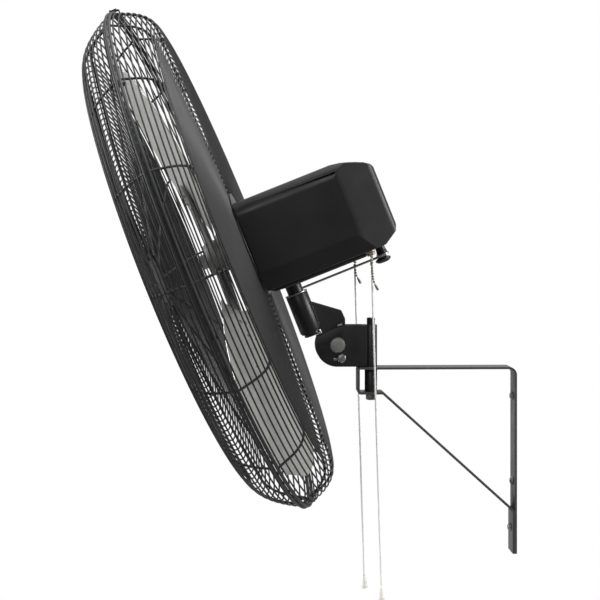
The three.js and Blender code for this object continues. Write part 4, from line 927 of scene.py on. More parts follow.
@dataclass
class GuardTrim:
    """The badge, the rim's clips and bolts, and the ring that carries the cage."""

    badge_radius: float = 54.0
    badge_front: float = -89.2
    clip_radius: float = 400.3
    clip_reach: float = 8.1
    phase: float = 2.0
    bolt_turns: tuple[int, ...] = (48, 103, 157, 203, 257, 312)
    bolt_radius: float = 392.6
    screw_turns: tuple[int, ...] = (45, 135, 225, 315)
    screw_radius: float = 73.0

    def build_badge(self) -> None:
        """The blank badge, a shallow dished plate with a rolled rim."""
        edge, front = self.badge_radius, self.badge_front
        profile = [
            (0, front - 3.4), (edge * 0.55, front - 3.1), (edge * 0.72, front - 2.5),
            (edge * 0.78, front - 2.9), (edge * 0.93, front - 2.2), (edge - 1.0, front - 1.2),
            (edge, front - 0.5), (edge - 0.3, front), (0, front),
        ]
        badge = soften(turned("guard_badge_plate", profile, Axis.REARWARD, 96), 0.3, 2, 12)
        fit(badge, MOULDED, "head", "guard_badge", place=Place.HEAD)

    def build_clip(self, turn: int, node: str) -> None:
        """One clip, a bent strip that holds both rim wires, with its screw."""
        reach, low = self.clip_reach, self.clip_radius
        end, foot = reach + 1.5, low - 4.0
        strip = [
            (-end, foot), (-reach, foot), (-reach, low), (reach, low), (reach, foot), (end, foot),
            (end, low + 1.4), (reach + 0.6, low + 2.2), (3.4, low + 2.2), (2.2, low + 4.2),
            (-2.2, low + 4.2), (-3.4, low + 2.2), (-reach - 0.6, low + 2.2), (-end, low + 1.4),
        ]
        band = soften(plate("strip", strip, Axis.SIDEWAYS, -4, 4), 0.35, 2)
        head, tip = -reach + 3, reach - 2
        shank = [(0, head), (2.6, head), (2.6, head + 2), (1.7, head + 2), (1.7, tip), (0, tip)]
        screw = turned("screw", shank, Axis.REARWARD, 20, (0, 0, low + 3.0))
        clip = join(f"rim_clip_{turn}", [band, screw])
        clip.data.transform(Matrix.Rotation(math.radians(self.phase + turn), 4, "Y"))
        fit(clip, WIRE_COAT, "head", node, place=Place.HEAD)

    def build_rim_bolts(self) -> None:
        """The small bolts that draw the two rim wires together, between the clips."""
        profile = [(0, -4.2), (2.4, -4.2), (2.8, -3.8), (2.8, 6.4), (1.9, 7.0), (1.9, 9.0), (0, 9.0)]
        bolt = turned("bolt", profile, Axis.REARWARD, 16, (0, 0, self.bolt_radius))
        fit(join("rim_bolts", copies_round(bolt, self.bolt_turns)), WIRE_COAT, "head", place=Place.HEAD)

    def build_ring(self) -> None:
        """The ring between the housing and the cage, with the screws that hold the cage to it."""
        profile = [(50.5, 59.2), (81.0, 59.2), (82.0, 60.0), (82.0, 61.2), (81.4, 61.7), (50.5, 61.7)]
        ring = turned("cage_mount_ring", profile, Axis.REARWARD, 96)
        at = (0, 0, self.screw_radius)
        head = turned(
            "head", [(0, 54.8), (2.6, 54.8), (3.4, 55.6), (3.4, 57.0), (0, 57.0)], Axis.REARWARD, 20, at
        )
        shank = turned("shank", [(0, 56.8), (1.6, 56.8), (1.6, 59.6), (0, 59.6)], Axis.REARWARD, 12, at)
        screws = copies_round(head, self.screw_turns) + copies_round(shank, self.screw_turns)
        whole = join("cage_mount_ring", [ring, *screws])
        fit(whole, BLACK_PAINT, "head", "guard_mount_ring", place=Place.HEAD)

    def build(self) -> None:
        """Makes the trim."""
        self.build_badge()
        self.build_rim_bolts()
        self.build_clip(0, "guard_clip_top")
        self.build_clip(180, "guard_clip_bottom")
        self.build_ring()


# ------------------------------------------------------------------ fan
@dataclass
class Impeller:
    """The three paddles, the spider and the shaft."""

    angles: tuple[float, ...] = (40.0, 160.0, 280.0)
    root: float = 92.0
    tip: float = 357.0
    chord: float = 196.0
    root_chord: float = 96.0
    widest: float = 0.62
    tip_start: float = 0.78
    tip_blunt: float = 1.015
    thick: float = 2.0
    sheet: float = 1.6
    pitch: float = math.radians(17)
    camber: float = 0.035
    crowding: float = 0.85
    spider_reach: float = 150.0
    spider_width: float = 34.0
    spider_thick: float = 4.0
    rivets: tuple[Pair, ...] = ((-8, 112), (8, 112), (0, 134))
    fan_plane: float = 6.0
    hub_radius: float = 26.0
    hub_front: float = -10.0
    hub_rear: float = 30.0
    shaft_radius: float = 7.5

    def width(self, share: float) -> float:
        """The paddle's chord."""
        swell = math.sin(math.pi / 2 * min(share / self.widest, 1))
        past = max(share - self.tip_start, 0) / (self.tip_blunt - self.tip_start)
        return (self.root_chord + (self.chord - self.root_chord) * swell) * math.sqrt(1 - past**2)

    def bend_blade(self, piece: Piece) -> None:
        """Shapes a flat grid into the pitched, hollowed paddle."""
        lift = self.spider_thick / 2 + GAP + self.thick / 2
        for vertex in piece.data.vertices:
            across, along = vertex.co.x, (vertex.co.y + 0.5) ** self.crowding
            radius = self.root + (self.tip - self.root) * along
            chord = self.width(along)
            hollow = self.camber * chord * (1 - 4 * across * across) * min(1, 2 * (vertex.co.y + 0.5))
            off = lift + hollow
            around = (across * chord * math.cos(self.pitch) - off * math.sin(self.pitch)) / radius
            rear = self.fan_plane + across * chord * math.sin(self.pitch) + off * math.cos(self.pitch)
            vertex.co = (radius * math.sin(around), rear, radius * math.cos(around))

    def build_blades(self) -> None:
        """The three paddles."""
        bpy.ops.mesh.primitive_grid_add(x_subdivisions=18, y_subdivisions=34, size=1)
        paddle = bpy.context.active_object
        self.bend_blade(paddle)
        apply_modifier(paddle, "SOLIDIFY", thickness=self.sheet, offset=0.0)
        edge = math.radians(50)
        apply_modifier(paddle, "BEVEL", width=0.45, segments=2, limit_method="ANGLE", angle_limit=edge)
        mend(paddle, 0.001)
        smooth(paddle, 40)
        for number, blade in enumerate(copies_round(paddle, self.angles), 1):
            blade.name = f"paddle_{number}"
            fit(blade, SHEET, "fan", f"blade_{number}", place=Place.HEAD)

    def spider_arm(self) -> Piece:
        """One arm of the spider, standing up, with three rivets through its paddle."""
        half, thick = self.spider_width / 2, self.spider_thick / 2
        outline = [(-half, 18), (half, 18), *arc((0, self.spider_reach - half), half, 0, 180, 16)]
        parts = [soften(plate("arm", outline, Axis.REARWARD, -thick, thick), 0.6, 2)]
        rivet = [
            (0, -thick - 2.0), (2.4, -thick - 1.7), (3.6, -thick), (3.6, thick + 2.2), (2.2, thick + 3.6),
            (0, thick + 3.9),
        ]
        for x, z in self.rivets:
            parts.append(turned("rivet", rivet, Axis.REARWARD, 20, (x, 0, z)))
        whole = join("arm", parts)
        lean = Matrix.Rotation(-self.pitch, 4, "Z").inverted()
        whole.data.transform(Matrix.Translation((0, self.fan_plane, 0)) @ lean)
        return whole

    def build_hub(self) -> None:
        """The cast hub with its three arms."""
        radius, front, rear = self.hub_radius, self.hub_front, self.hub_rear
        bore = self.shaft_radius + GAP
        profile = [
            (bore, front), (radius - 7, front), (radius - 4, front + 1.5), (radius - 0.8, front + 7),
            (radius, front + 10), (radius, rear - 7), (radius - 1.6, rear - 4), (radius - 8, rear - 1.0),
            (radius - 10, rear), (bore, rear),
        ]
        boss = soften(turned("boss", profile, Axis.REARWARD, 64), 0.4, 2, 20)
        arms = copies_round(self.spider_arm(), self.angles)
        fit(join("fan_hub", [boss, *arms]), CAST, "fan", "blade_hub", place=Place.HEAD)

    def build_shaft(self) -> None:
        """The shaft's end and its nut."""
        radius, front = self.shaft_radius, self.hub_front
        profile = [
            (0, front - 12), (radius - 1, front - 12), (radius, front - 11), (radius, 190), (4, 190),
            (4, 256), (0, 256),
        ]
        fit(turned("fan_shaft", profile, Axis.REARWARD, 40), STEEL, "fan", "motor_shaft", place=Place.HEAD)
        nut = hex_nut("fan_nut", radius + GAP, 12.6, front - 9, front - GAP, Axis.REARWARD)
        fit(nut, ZINC, "fan", "shaft_nut", place=Place.HEAD)

    def build(self) -> None:
        """Makes the fan."""
        self.build_blades()
        self.build_hub()
        self.build_shaft()


def hex_nut(
    name: str, bore: float, corner: float, low: float, high: float, axis: Axis,
    offset: Sequence[float] = (0, 0, 0),
) -> Piece:
    """A hexagonal nut from low to high on its axis, with chamfered corners at the radius corner."""
    cone = [
        (bore, low), (corner * 0.9, low), (corner * 1.01, low + 1.1), (corner * 1.01, high - 1.1),
        (corner * 0.9, high), (bore, high),
    ]
    nut = turned(name, cone, Axis.UPRIGHT, 72)
    edit_all(nut)
    flat = corner * math.cos(math.pi / 6)
    for i in range(6):
        angle = math.pi / 6 + i * math.pi / 3
        way = (math.cos(angle), math.sin(angle), 0)
        bpy.ops.mesh.select_all(action="SELECT")
        bpy.ops.mesh.bisect(
            plane_co=tuple(flat * part for part in way), plane_no=way, use_fill=True, clear_outer=True
        )
    close_edit()
    mend(nut)
    nut.data.transform(Matrix.Translation(Vector(offset)) @ axis.value)
    return smooth(nut, 25)


# ------------------------------------------------------------------ housing
@dataclass
class Housing:
    """The motor's black housing: a folded hood over a base tray.

    Attributes:
        front: Its front, behind the guard's joint.
        rear: Its rear.
        top: Its roof.
        floor: Its floor.
        half_width: Half of its width.
        wall: The hood's wall.
    """

    front: float = 62.0
    rear: float = 277.0
    top: float = 65.4
    floor: float = -74.5
    half_width: float = 71.0
    wall: float = 2.5
    rounding: float = 3.4
    corner: float = 22.0
    floor_flange: float = 18.0
    front_flange: float = 16.0
    base_depth: float = 6.6
    lead_at: Triple = (-30, 140, 0)

    def side_outline(self) -> list[Pair]:
        """The hood's outline from the side, as (y, z)."""
        return [
            (self.front, self.floor + 3), (self.front + 4, self.floor), (self.rear - 25, self.floor),
            (self.rear - 4, self.floor + 13), (self.rear, self.floor + 22), (self.rear, 38.7),
            (self.rear - 1.6, 43.2), (self.rear - 5, self.top - 19), (self.rear - 12, self.top - 14.2),
            (self.rear - 23, self.top - 9.5), (self.rear - 34, self.top - 5.6),
            (self.rear - 45, self.top - 2.5), (self.rear - 60, self.top), (self.front, self.top),
        ]

    def plan_outline(self) -> list[Pair]:
        """The near half of the hood's outline from above, as (x, y)."""
        half = self.half_width
        return [
            (half, self.rear - 60), (half - 0.8, self.rear - 56), (half - 3, self.rear - 50),
            (half - 20, self.rear - 8), (half - 23, self.rear - 3.2), (half - 28, self.rear),
        ]

    def face_outline(self) -> list[Pair]:
        """The near half of the hood's outline from the front, as (x, z)."""
        half = self.half_width
        return [
            (half - 7, self.floor), (half, self.floor + 28),
            *arc((half - self.corner, self.top - self.corner), self.corner, 0, 90, 10),
        ]

    def bisect(self, at: Sequence[float], way: Vector) -> None:
        """Cuts off what lies past a plane through a point, in edit mode."""
        bpy.ops.mesh.select_all(action="SELECT")
        bpy.ops.mesh.bisect(plane_co=at, plane_no=way.normalized(), use_fill=True, clear_outer=True)

    def chamfer(self, piece: Piece) -> None:
        """Cuts a block to the hood's folded shape."""
        edit_all(piece)
        middle = Vector((0, (self.front + self.rear) / 2, (self.top + self.floor) / 2))
        side, plan, face = self.side_outline(), self.plan_outline(), self.face_outline()
        for (y, z), (next_y, next_z) in zip(side, side[1:] + side[:1]):
            way = Vector((0, next_z - z, y - next_y))
            outwards = way.dot(Vector((0, y, z)) - middle) >= 0
            self.bisect((0, y, z), way if outwards else -way)
        for mirror in (1, -1):
            for (x, y), (next_x, next_y) in zip(plan, plan[1:]):
                self.bisect((mirror * x, y, 0), Vector((mirror * (next_y - y), x - next_x, 0)))
            for (x, z), (next_x, next_z) in zip(face, face[1:]):
                self.bisect((mirror * x, 0, z), Vector((mirror * (next_z - z), 0, x - next_x)))
        bpy.ops.mesh.select_all(action="SELECT")
        bpy.ops.mesh.dissolve_limited(angle_limit=math.radians(0.5))
        close_edit()

    def open_face(self, piece: Piece, way: Vector, rim: float) -> None:
        """Cuts an opening with a flange round it into one flat face."""
        take_up(piece)
        bpy.ops.object.mode_set(mode="EDIT")
        bpy.ops.mesh.select_mode(type="FACE")
        bpy.ops.mesh.select_all(action="DESELECT")
        close_edit()
        facing = [face for face in piece.data.polygons if face.normal.dot(way) > 0.999]
        max(facing, key=lambda face: face.area).select = True
        bpy.ops.object.mode_set(mode="EDIT")
        bpy.ops.mesh.inset(thickness=rim, depth=0)
        bpy.ops.mesh.delete(type="FACE")
        close_edit()

    def build_hood(self) -> None:
        """The hood, one folded shell that is open under the base and behind the guard."""
        bpy.ops.mesh.primitive_cube_add(size=1)
        hood = bpy.context.active_object
        hood.name = "motor_hood"
        spare = 10  # so that every side of the block is cut, and none lies on a cut
        size = (2 * self.half_width + spare, self.rear - self.front + spare, self.top - self.floor + spare)
        middle = (0, (self.rear + self.front) / 2, (self.top + self.floor) / 2)
        hood.data.transform(Matrix.Translation(middle) @ Matrix.Diagonal((*size, 1)))
        self.chamfer(hood)
        apply_modifier(
            hood, "BEVEL", width=self.rounding, segments=4, limit_method="ANGLE",
            angle_limit=math.radians(12), use_clamp_overlap=True,
        )
        self.open_face(hood, Vector((0, 0, -1)), self.floor_flange)
        self.open_face(hood, Vector((0, -1, 0)), self.front_flange)
        apply_modifier(hood, "SOLIDIFY", thickness=self.wall, offset=-1.0)
        smooth(hood, 32)
        apply_modifier(hood, "WEIGHTED_NORMAL", keep_sharp=True)
        fit(hood, HOUSING_PAINT, "head", "housing_hood", place=Place.HEAD)

    def build_grommet(self) -> None:
        """The empty grommet of the supply lead."""
        under = self.floor - GAP - self.base_depth
        body = [
            (3.0, under - 2.4), (5.4, under - 2.4), (6.0, under - 2.1), (7.0, under - 1.2),
            (7.0, under - GAP), (3.0, under - GAP),
        ]
        grommet = turned("lead_grommet", body, Axis.UPRIGHT, 48, self.lead_at)
        fit(soften(grommet, 0.25, 2, 30), MOULDED, "head", "cable_gland", place=Place.HEAD)

    def build(self) -> None:
        """Makes the housing."""
        self.build_hood()
        fit_refined("housing_base", HOUSING_PAINT, "head", 0.8, 3)
        self.build_grommet()


# ------------------------------------------------------------------ oscillation linkage and nozzles
@dataclass
class Linkage:
    """What hangs under the housing: the crank with its knob, the link rod and the chain nozzles."""

    crank_axis: Pair = (-20.3, 242.0)
    crank_radius: float = 17.0
    crank_turn: float = math.pi + math.radians(6.3)
    boss_bottom: float = -89.0
    floor: float = -74.5
    arm_thick: float = 2.0
    eye_thick: float = 3.0
    knob_radius: float = 12.5
    knob_height: float = 8.6
    scallops: int = 18
    scallop_depth: float = 0.018
    stud_bore: float = 2.3
    nozzles: tuple[tuple[str, float, float], ...] = (("near", 56.0, 226.0), ("far", -56.0, 200.0))

    @property
    def pin(self) -> Pair:
        """The crank pin's place, as (x, y) of the head's frame."""
        return (
            self.crank_axis[0] + self.crank_radius * math.cos(self.crank_turn),
            self.crank_axis[1] + self.crank_radius * math.sin(self.crank_turn),
        )

    @property
    def arm_top(self) -> float:
        """The crank arm's upper face."""
        return self.boss_bottom - GAP

    @property
    def rod_bottom(self) -> float:
        """The rod eye's lower face."""
        return self.boss_bottom - 2 * GAP - self.arm_thick - self.eye_thick

    def build_boss(self) -> None:
        """The flared boss that carries the crank's shaft, a smooth sleeve over the gearbox's own."""
        bottom = self.boss_bottom
        profile = [
            (7.2, self.floor - 0.4), (7.2, bottom + 10), (7.6, bottom + 6), (8.5, bottom + 2.2),
            (8.7, bottom + 1.0), (8.4, bottom + 0.1), (4.5, bottom + 0.1), (4.5, self.floor - 0.4),
        ]
        boss = turned("crank_boss", profile, Axis.UPRIGHT, 48, (*self.crank_axis, 0))
        fit(boss, BLACK_PAINT, "head", place=Place.HEAD)

    def build_crank(self) -> None:
        """The crank's arm, its shaft's foot and its pin."""
        arm_top, arm_bottom = self.arm_top, self.arm_top - self.arm_thick
        along = math.degrees(self.crank_turn)
        outline = [
            *arc(self.crank_axis, 10, along + 90, along + 270, 20),
            *arc(self.pin, 8, along - 90, along + 90, 20),
        ]
        arm = soften(plate("arm", outline, Axis.UPRIGHT, arm_bottom, arm_top), 0.35, 2)
        shaft = [
            (0, arm_bottom - 1.2), (2.6, arm_bottom - 1.0), (3.4, arm_bottom + 0.3),
            (4, arm_bottom + 0.5), (4, 12), (0, 12),
        ]
        foot = turned("foot", shaft, Axis.UPRIGHT, 32, (*self.crank_axis, 0))
        low = self.rod_bottom - 5
        stud = [(0, low), (1.5, low), (2.0, low + 0.5), (2.0, arm_top - 0.5), (0, arm_top - 0.5)]
        pin = turned("pin", stud, Axis.UPRIGHT, 24, (*self.pin, 0))
        fit(join("crank_arm", [arm, foot, pin]), ZINC, "crank_shaft", "crank", place=Place.HEAD)

    def build_knob(self) -> None:
        """The lens-shaped thumb nut, with a scalloped edge."""
        top, radius = self.rod_bottom - GAP, self.knob_radius
        bore = self.stud_bore
        profile = [
            (bore, top), (5.0, top), (7.5, top - 0.3), (radius - 2.2, top - 1.4),
            (radius - 0.5, top - 2.6), (radius, top - 3.6), (radius, top - 4.6),
            (radius - 0.8, top - 5.6), (radius - 3, top - 7.4), (7.0, top - 8.4),
            (5.0, top - self.knob_height), (bore, top - self.knob_height),
        ]
        knob = turned("thumb_nut", profile, Axis.UPRIGHT, 72)
        for vertex in knob.data.vertices:
            out = math.hypot(vertex.co.x, vertex.co.y)
            if out > radius - 1.2:
                swing = math.cos(self.scallops * math.atan2(vertex.co.y, vertex.co.x))
                wave = 1 - self.scallop_depth * (1 + swing)
                vertex.co.x *= wave
                vertex.co.y *= wave
        knob.data.transform(Matrix.Translation((*self.pin, 0)))
        fit(smooth(knob, 50), MOULDED, "knob", "crank_knob", place=Place.HEAD)

    def build_nozzles(self) -> None:
        """The chains' nozzles, flanged and threaded into the floor."""
        top = self.floor - GAP
        mouth = top - 7
        for which, side, rear in self.nozzles:
            profile = [
                (1.6, top), (8.0, top), (8.0, top - 1.0), (7.6, top - 1.4), (6.5, top - 1.8),
                (6.3, top - 2.6), (6.5, top - 3.0), (6.3, top - 3.6), (6.5, top - 4.2),
                (6.4, mouth + 1.0), (5.9, mouth + 0.2), (5.2, mouth), (4.8, mouth + 0.4),
                (4.6, mouth + 1.4), (4.6, top - 1.6), (1.6, top - 1.6),
            ]
            nozzle = turned(f"{which}_nozzle", profile, Axis.UPRIGHT, 48, (side, rear, 0))
            fit(smooth(nozzle, 40), CHAIN_METAL, "head", f"{which}_chain_nozzle", place=Place.HEAD)

    def build(self) -> None:
        """Makes the linkage and the nozzles."""
        self.build_boss()
        self.build_crank()
        self.build_knob()
        fit_refined("link_rod", ZINC, "rod", 0.35, 2, 50)
        self.build_nozzles()


# ------------------------------------------------------------------ neck and tilt hinge
@dataclass
class Neck:
    """The neck pin, the sleeve that it turns in, and the arm that the sleeve is welded to."""

    pin_radius: float = 12.4
    sleeve_radius: float = 17.0
    sleeve_top: float = -97.7
    sleeve_length: float = 60.0
    washer: float = 2.0
    base_bottom: float = -81.4
    flange_top: float = -74.8
    gusset_half: float = 9.5
    weld_radius: float = 1.25
    weld_pitch: float = 2.6
    weld_points: int = 15
    weld_wobble: float = 0.35

    def build_pin(self) -> None:
        """The neck pin, with its flange in the base."""
        radius, bottom = self.pin_radius, self.sleeve_top - self.sleeve_length - 7
        seat = self.base_bottom + 2.8
        profile = [
            (0, bottom), (radius - 1, bottom), (radius, bottom + 1), (radius, seat), (radius + 5, seat),
            (radius + 5, self.flange_top), (0, self.flange_top),
        ]
        pin = turned("neck_pin_bar", profile, Axis.UPRIGHT, 64, (0, NECK_REAR, 0))
        fit(pin, BLACK_PAINT, "head", "neck_pin", place=Place.HEAD)
        clip_top = self.sleeve_top - self.sleeve_length - GAP
        ring = [
            (radius + 0.2, clip_top - 1.6), (radius + 3, clip_top - 1.6), (radius + 3, clip_top),
            (radius + 0.2, clip_top),
        ]
        clip = turned("retaining_ring", ring, Axis.UPRIGHT, 48, (0, NECK_REAR, 0))
        fit(clip, STEEL_DARK, "head", "neck_circlip", place=Place.HEAD)

    def build_sleeve(self) -> None:
        """The sleeve with softened mouths, and the washer on it."""
        bore, radius = self.pin_radius + GAP, self.sleeve_radius
        top, bottom = self.sleeve_top, self.sleeve_top - self.sleeve_length
        profile = [
            (bore + 0.6, top), (radius - 1.0, top), (radius - 0.3, top - 0.3), (radius, top - 1.0),
            (radius, bottom + 1.2), (radius - 0.4, bottom + 0.4), (radius - 1.2, bottom),
            (bore + 0.6, bottom), (bore, bottom + 0.6), (bore, top - 0.6),
        ]
        sleeve = turned("neck_sleeve_tube", profile, Axis.UPRIGHT, 72, (0, NECK_REAR, 0))
        fit(smooth(sleeve, 50), BLACK_PAINT, "arm", "neck_sleeve", place=Place.TILTED)
        low = top + GAP
        ring = [
            (bore, low), (radius + 0.3, low), (radius + 0.6, low + 0.3),
            (radius + 0.6, low + self.washer - 0.3), (radius + 0.3, low + self.washer),
            (bore, low + self.washer),
        ]
        washer = turned("sleeve_washer_ring", ring, Axis.UPRIGHT, 72, (0, NECK_REAR, 0))
        fit(washer, ZINC, "arm", "sleeve_washer", place=Place.TILTED)

    def build_welds(self) -> None:
        """The weld beads between the sleeve and the arm's gusset."""
        beads = []
        reach = self.sleeve_radius + 0.4
        y = NECK_REAR + math.sqrt(reach**2 - self.gusset_half**2)
        for side in (1, -1):
            points = []
            for i in range(self.weld_points):
                wobble = self.weld_wobble * math.sin(i * 2.4)
                x, z = self.gusset_half + 0.2 + wobble * 0.4, self.sleeve_top - 18 - i * self.weld_pitch
                points.append((side * x, y + wobble, z))
            beads.append(round_bar("bead", points, self.weld_radius, True, 3))
        fit(join("sleeve_welds", beads), BLACK_PAINT, "arm", place=Place.TILTED)

    def build(self) -> None:
        """Makes the neck."""
        self.build_pin()
        self.build_sleeve()
        fit_refined("tilt_arm", BLACK_PAINT, "arm", 0.7, 3, 25)
        fit_refined("link_lug", BLACK_PAINT, "arm", 0.4, 2, 40)
        self.build_welds()


@dataclass
class TiltHinge:
    """The clevis, its bolt and nut, and the lock screw in its slot."""

    outer: float = 13.8
    bolt_radius: float = 6.0
    head_radius: float = 12.0
    head_height: float = 6.5
    lock_reach: float = 21.2
    lock_angle: float = math.radians(-71.7)
    lock_turn: float = 0.9
    welds: tuple[tuple[str, float, float, float], ...] = (
        ("rear", -268.6, 204.6, 3.4), ("front", -299.4, 192.4, 2.6),
    )
    weld_side: float = 12.3
    weld_slope: float = 0.3
    weld_radius: float = 2.0

    @property
    def seat(self) -> float:
        """Where the bolt heads seat."""
        return self.outer + GAP

    def build_bolt(self) -> None:
        """The hinge bolt, with a flat round head, and its nut."""
        seat, radius, head = self.seat, self.bolt_radius, self.head_radius
        crown = seat + self.head_height
        profile = [
            (0, -crown - 3), (radius - 0.8, -crown - 3), (radius, -crown - 2.2), (radius, seat),
            (head - 0.4, seat), (head, seat + 0.4), (head, seat + 2.4), (head - 0.5, seat + 4.0),
            (head - 1.6, crown - 0.5), (head - 2.8, crown), (0, crown),
        ]
        at = (0, *HINGE)
        bolt = turned("hinge_bolt", profile, Axis.SIDEWAYS, 64, at)
        fit(smooth(bolt, 32), BOLT_GREY, "post", "tilt_bolt")
        nut = hex_nut("hinge_nut", radius + GAP, 11.0, -seat - self.head_height, -seat, Axis.SIDEWAYS, at)
        fit(nut, BOLT_GREY, "post", "tilt_nut")

    def build_lock(self) -> None:
        """The slotted lock screw."""
        seat = self.seat
        profile = [
            (0, 3.5), (2.8, 3.5), (2.8, seat), (6.1, seat), (6.4, seat + 0.4), (6.4, seat + 3.2),
            (5.8, seat + 4.1), (5.0, seat + 4.5), (0, seat + 4.5),
        ]
        screw = turned("lock_screw_head", profile, Axis.SIDEWAYS, 40)
        slot = plate(
            "slot", [(-7, -0.6), (7, -0.6), (7, 0.6), (-7, 0.6)], Axis.SIDEWAYS, seat + 3, seat + 6
        )
        carve(screw, slot)
        at = (
            0,
            HINGE[0] + self.lock_reach * math.cos(self.lock_angle),
            HINGE[1] + self.lock_reach * math.sin(self.lock_angle),
        )
        screw.data.transform(Matrix.Translation(at) @ Matrix.Rotation(self.lock_turn, 4, "X"))
        fit(smooth(screw, 30), ZINC, "arm", "lock_screw")
        y, z = at[1] - 10.5, at[2] - 1.2
        outline = [*arc((y, z), 2.2, 90, 270, 8), (y + 5.5, z - 1.4), (y + 5.5, z + 1.4)]
        tongue = soften(plate("lock_screw_tongue", outline, Axis.SIDEWAYS, seat + 0.1, seat + 1.5), 0.3, 2)
        fit(tongue, ZINC, "arm")

    def build_welds(self) -> None:
        """The bare weld beads where the arm's plate meets the clevis."""
        for name, y, z, reach in self.welds:
            rise = reach * self.weld_slope
            ends = [(self.weld_side, y + i * reach, z + i * rise) for i in (-1, 0, 1)]
            bead = round_bar(f"{name}_hinge_weld", ends, self.weld_radius)
            fit(smooth(bead), ZINC, "post")

    def build(self) -> None:
        """Makes the hinge."""
        fit_refined("tilt_clevis", BLACK_PAINT, "post", 0.7, 3, 25)
        self.build_welds()
        self.build_bolt()
        self.build_lock()


# ------------------------------------------------------------------ post and wall bracket
@dataclass
class Post:
    """The post that the fan swivels on, through the bracket's loop."""

    reach: float = 220.5
    bolt_radius: float = 6.3
    tube_radius: float = 9.5
    tube_top: float = 204.0
    proud: float = 10.6
    arm_top: float = 140.3
    ledge_top: float = 102.7
    strap: float = 3.2
    nut_radius: float = 8.8
    nut_height: float = 8.8

    def collar(self, name: str, low: float, high: float) -> Piece:
        """A length of the post's tube."""
        bore, radius = self.bolt_radius + GAP, self.tube_radius
        profile = [
            (bore, low), (radius - 0.5, low), (radius, low + 0.5), (radius, high - 0.6),
            (radius - 0.2, high - 0.2), (radius - 0.6, high), (bore, high),
        ]
        return turned(name, profile, Axis.UPRIGHT, 56, (0, -self.reach, 0))

    def build(self) -> None:
        """Makes the post."""
        under_ledge = self.ledge_top - self.strap - GAP
        foot = under_ledge - self.nut_height - 1
        top = self.tube_top + self.proud
        radius = self.bolt_radius
        bolt = [
            (0, foot), (radius - 1, foot), (radius, foot + 1), (radius, top - 1), (radius - 1, top),
            (0, top),
        ]
        pin = turned("post_pin", bolt, Axis.UPRIGHT, 48, (0, -self.reach, 0))
        fit(pin, BLACK_PAINT, "bracket", "post_bolt")
        tube = self.collar("post_tube", self.arm_top + GAP, self.tube_top)
        fit(tube, BLACK_PAINT, "post", "swivel_tube")
        spacer = self.collar("loop_spacer", self.ledge_top + GAP, self.arm_top - self.strap - GAP)
        fit(spacer, BLACK_PAINT, "bracket", "post_spacer")
        nut = hex_nut(
            "post_foot_nut", radius + GAP, self.nut_radius, under_ledge - self.nut_height, under_ledge,
            Axis.UPRIGHT, (0, -self.reach, 0),
        )
        fit(nut, ZINC, "bracket", "post_nut")


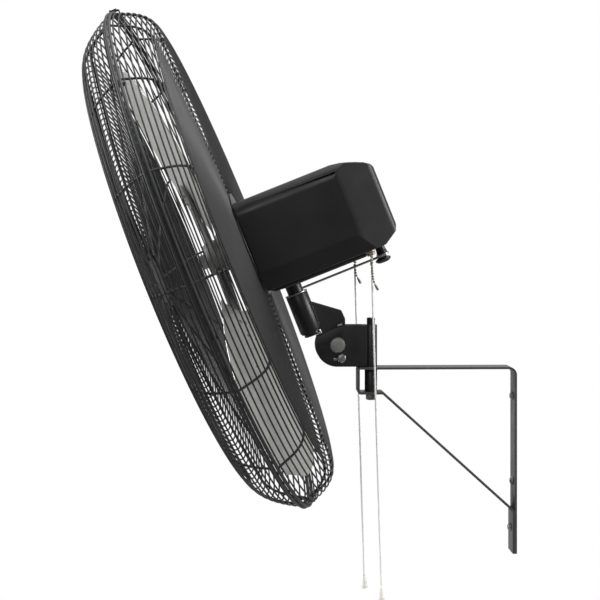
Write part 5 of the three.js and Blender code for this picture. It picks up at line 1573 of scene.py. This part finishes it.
@dataclass
class WallBracket:
    """The bent strap and the screws that hold it to the wall."""

    strap: float = 3.2
    screw_heights: tuple[tuple[str, float, int], ...] = (
        ("top", 94.7, 1), ("middle", -35.0, 1), ("bottom", -105.8, 2),
    )
    head_radius: float = 6.0
    head_height: float = 4.5

    def build_screw(self, place: str, height: float, layers: int) -> None:
        """One wall screw, with a domed, cross-slotted head."""
        seat = -layers * self.strap - GAP
        crown = seat - self.head_height
        radius = self.head_radius
        profile = [
            (0, crown), (radius * 0.45, crown + 0.2), (radius * 0.72, crown + 0.9),
            (radius * 0.92, crown + 2.1), (radius, seat - 1.0), (radius, seat), (3.0, seat), (3.0, -GAP),
            (0, -GAP),
        ]
        screw = turned(f"{place}_screw", profile, Axis.REARWARD, 40, (0, 0, height))
        low, high = crown - 1, crown + 1.6
        bar = [(-3.2, height - 0.6), (3.2, height - 0.6), (3.2, height + 0.6), (-3.2, height + 0.6)]
        upright = [(-0.6, height - 3.2), (0.6, height - 3.2), (0.6, height + 3.2), (-0.6, height + 3.2)]
        carve(
            screw, plate("bar", bar, Axis.REARWARD, low, high),
            plate("upright", upright, Axis.REARWARD, low, high),
        )
        fit(smooth(screw, 32), BOLT_GREY, "bracket", f"wall_screw_{place}")

    def build(self) -> None:
        """Makes the bracket."""
        fit_refined("wall_bracket", STRAP_PAINT_AND_EDGE_SHADE, "bracket", 0.5, 3, 25)
        for place, height, layers in self.screw_heights:
            self.build_screw(place, height, layers)


# ------------------------------------------------------------------ what stays inside
@dataclass
class InnerWorks:
    """The solids that stay as they are: the motor, the gear and the switches."""

    black_nodes: tuple[str, ...] = ("gearbox",)

    def build_motor_face(self) -> None:
        """The motor's front bell, seen through the cage."""
        profile = [
            (16.3, 59.0), (20.0, 58.0), (27.0, 58.0), (30.0, 59.0), (49.0, 59.0), (50.0, 60.0),
            (50.0, 64.8), (57.0, 64.8), (57.0, 83.7), (50.0, 83.7), (50.0, 71.8), (28.3, 71.8),
            (26.3, 77.8), (16.3, 77.8),
        ]
        bell = turned("motor_face", profile, Axis.REARWARD, 72)
        fit(soften(bell, 0.4, 2, 30), CAST, "head", "motor_front_bell", place=Place.HEAD)

    def build(self) -> None:
        """Dresses each solid that no piece stands for."""
        self.build_motor_face()
        slots = {entry["node"]: entry["material_slot"] for entry in frame["record"]["subparts"]}
        for node, solid in frame["nodes"].items():
            finish = BLACK_PAINT if node in self.black_nodes else CAD_FINISHES[slots[node]]
            solid.data.materials.clear()
            solid.data.materials.append(finish.material())


def main() -> None:
    """Builds the studio, the cords and then each sub-assembly."""
    logging.basicConfig(level=logging.INFO)
    clear_selection()
    Studio().build()
    LOG.info("studio")
    for pull in (
        PullCord("near", (65.224, -225.097, 311.192), 52, 480),
        PullCord("far", (-48.379, -241.557, 304.609), 40, 484),
    ):
        pull.build()
        LOG.info("%s pull", pull.which)
    for half in (
        GuardHalf("cage_front", "guard_front", -1, 88.0, 60.0, 2.2),
        GuardHalf("cage_rear", "guard_rear", 1, 56.9, 53.3, 3.8),
    ):
        half.build()
        LOG.info("%s", half.name)
    for assembly in (GuardTrim, Impeller, Housing, Linkage, Neck, TiltHinge, Post, WallBracket, InnerWorks):
        assembly().build()
        LOG.info("%s", assembly.__name__)
    clear_selection()


if __name__ == "__main__":
    main()
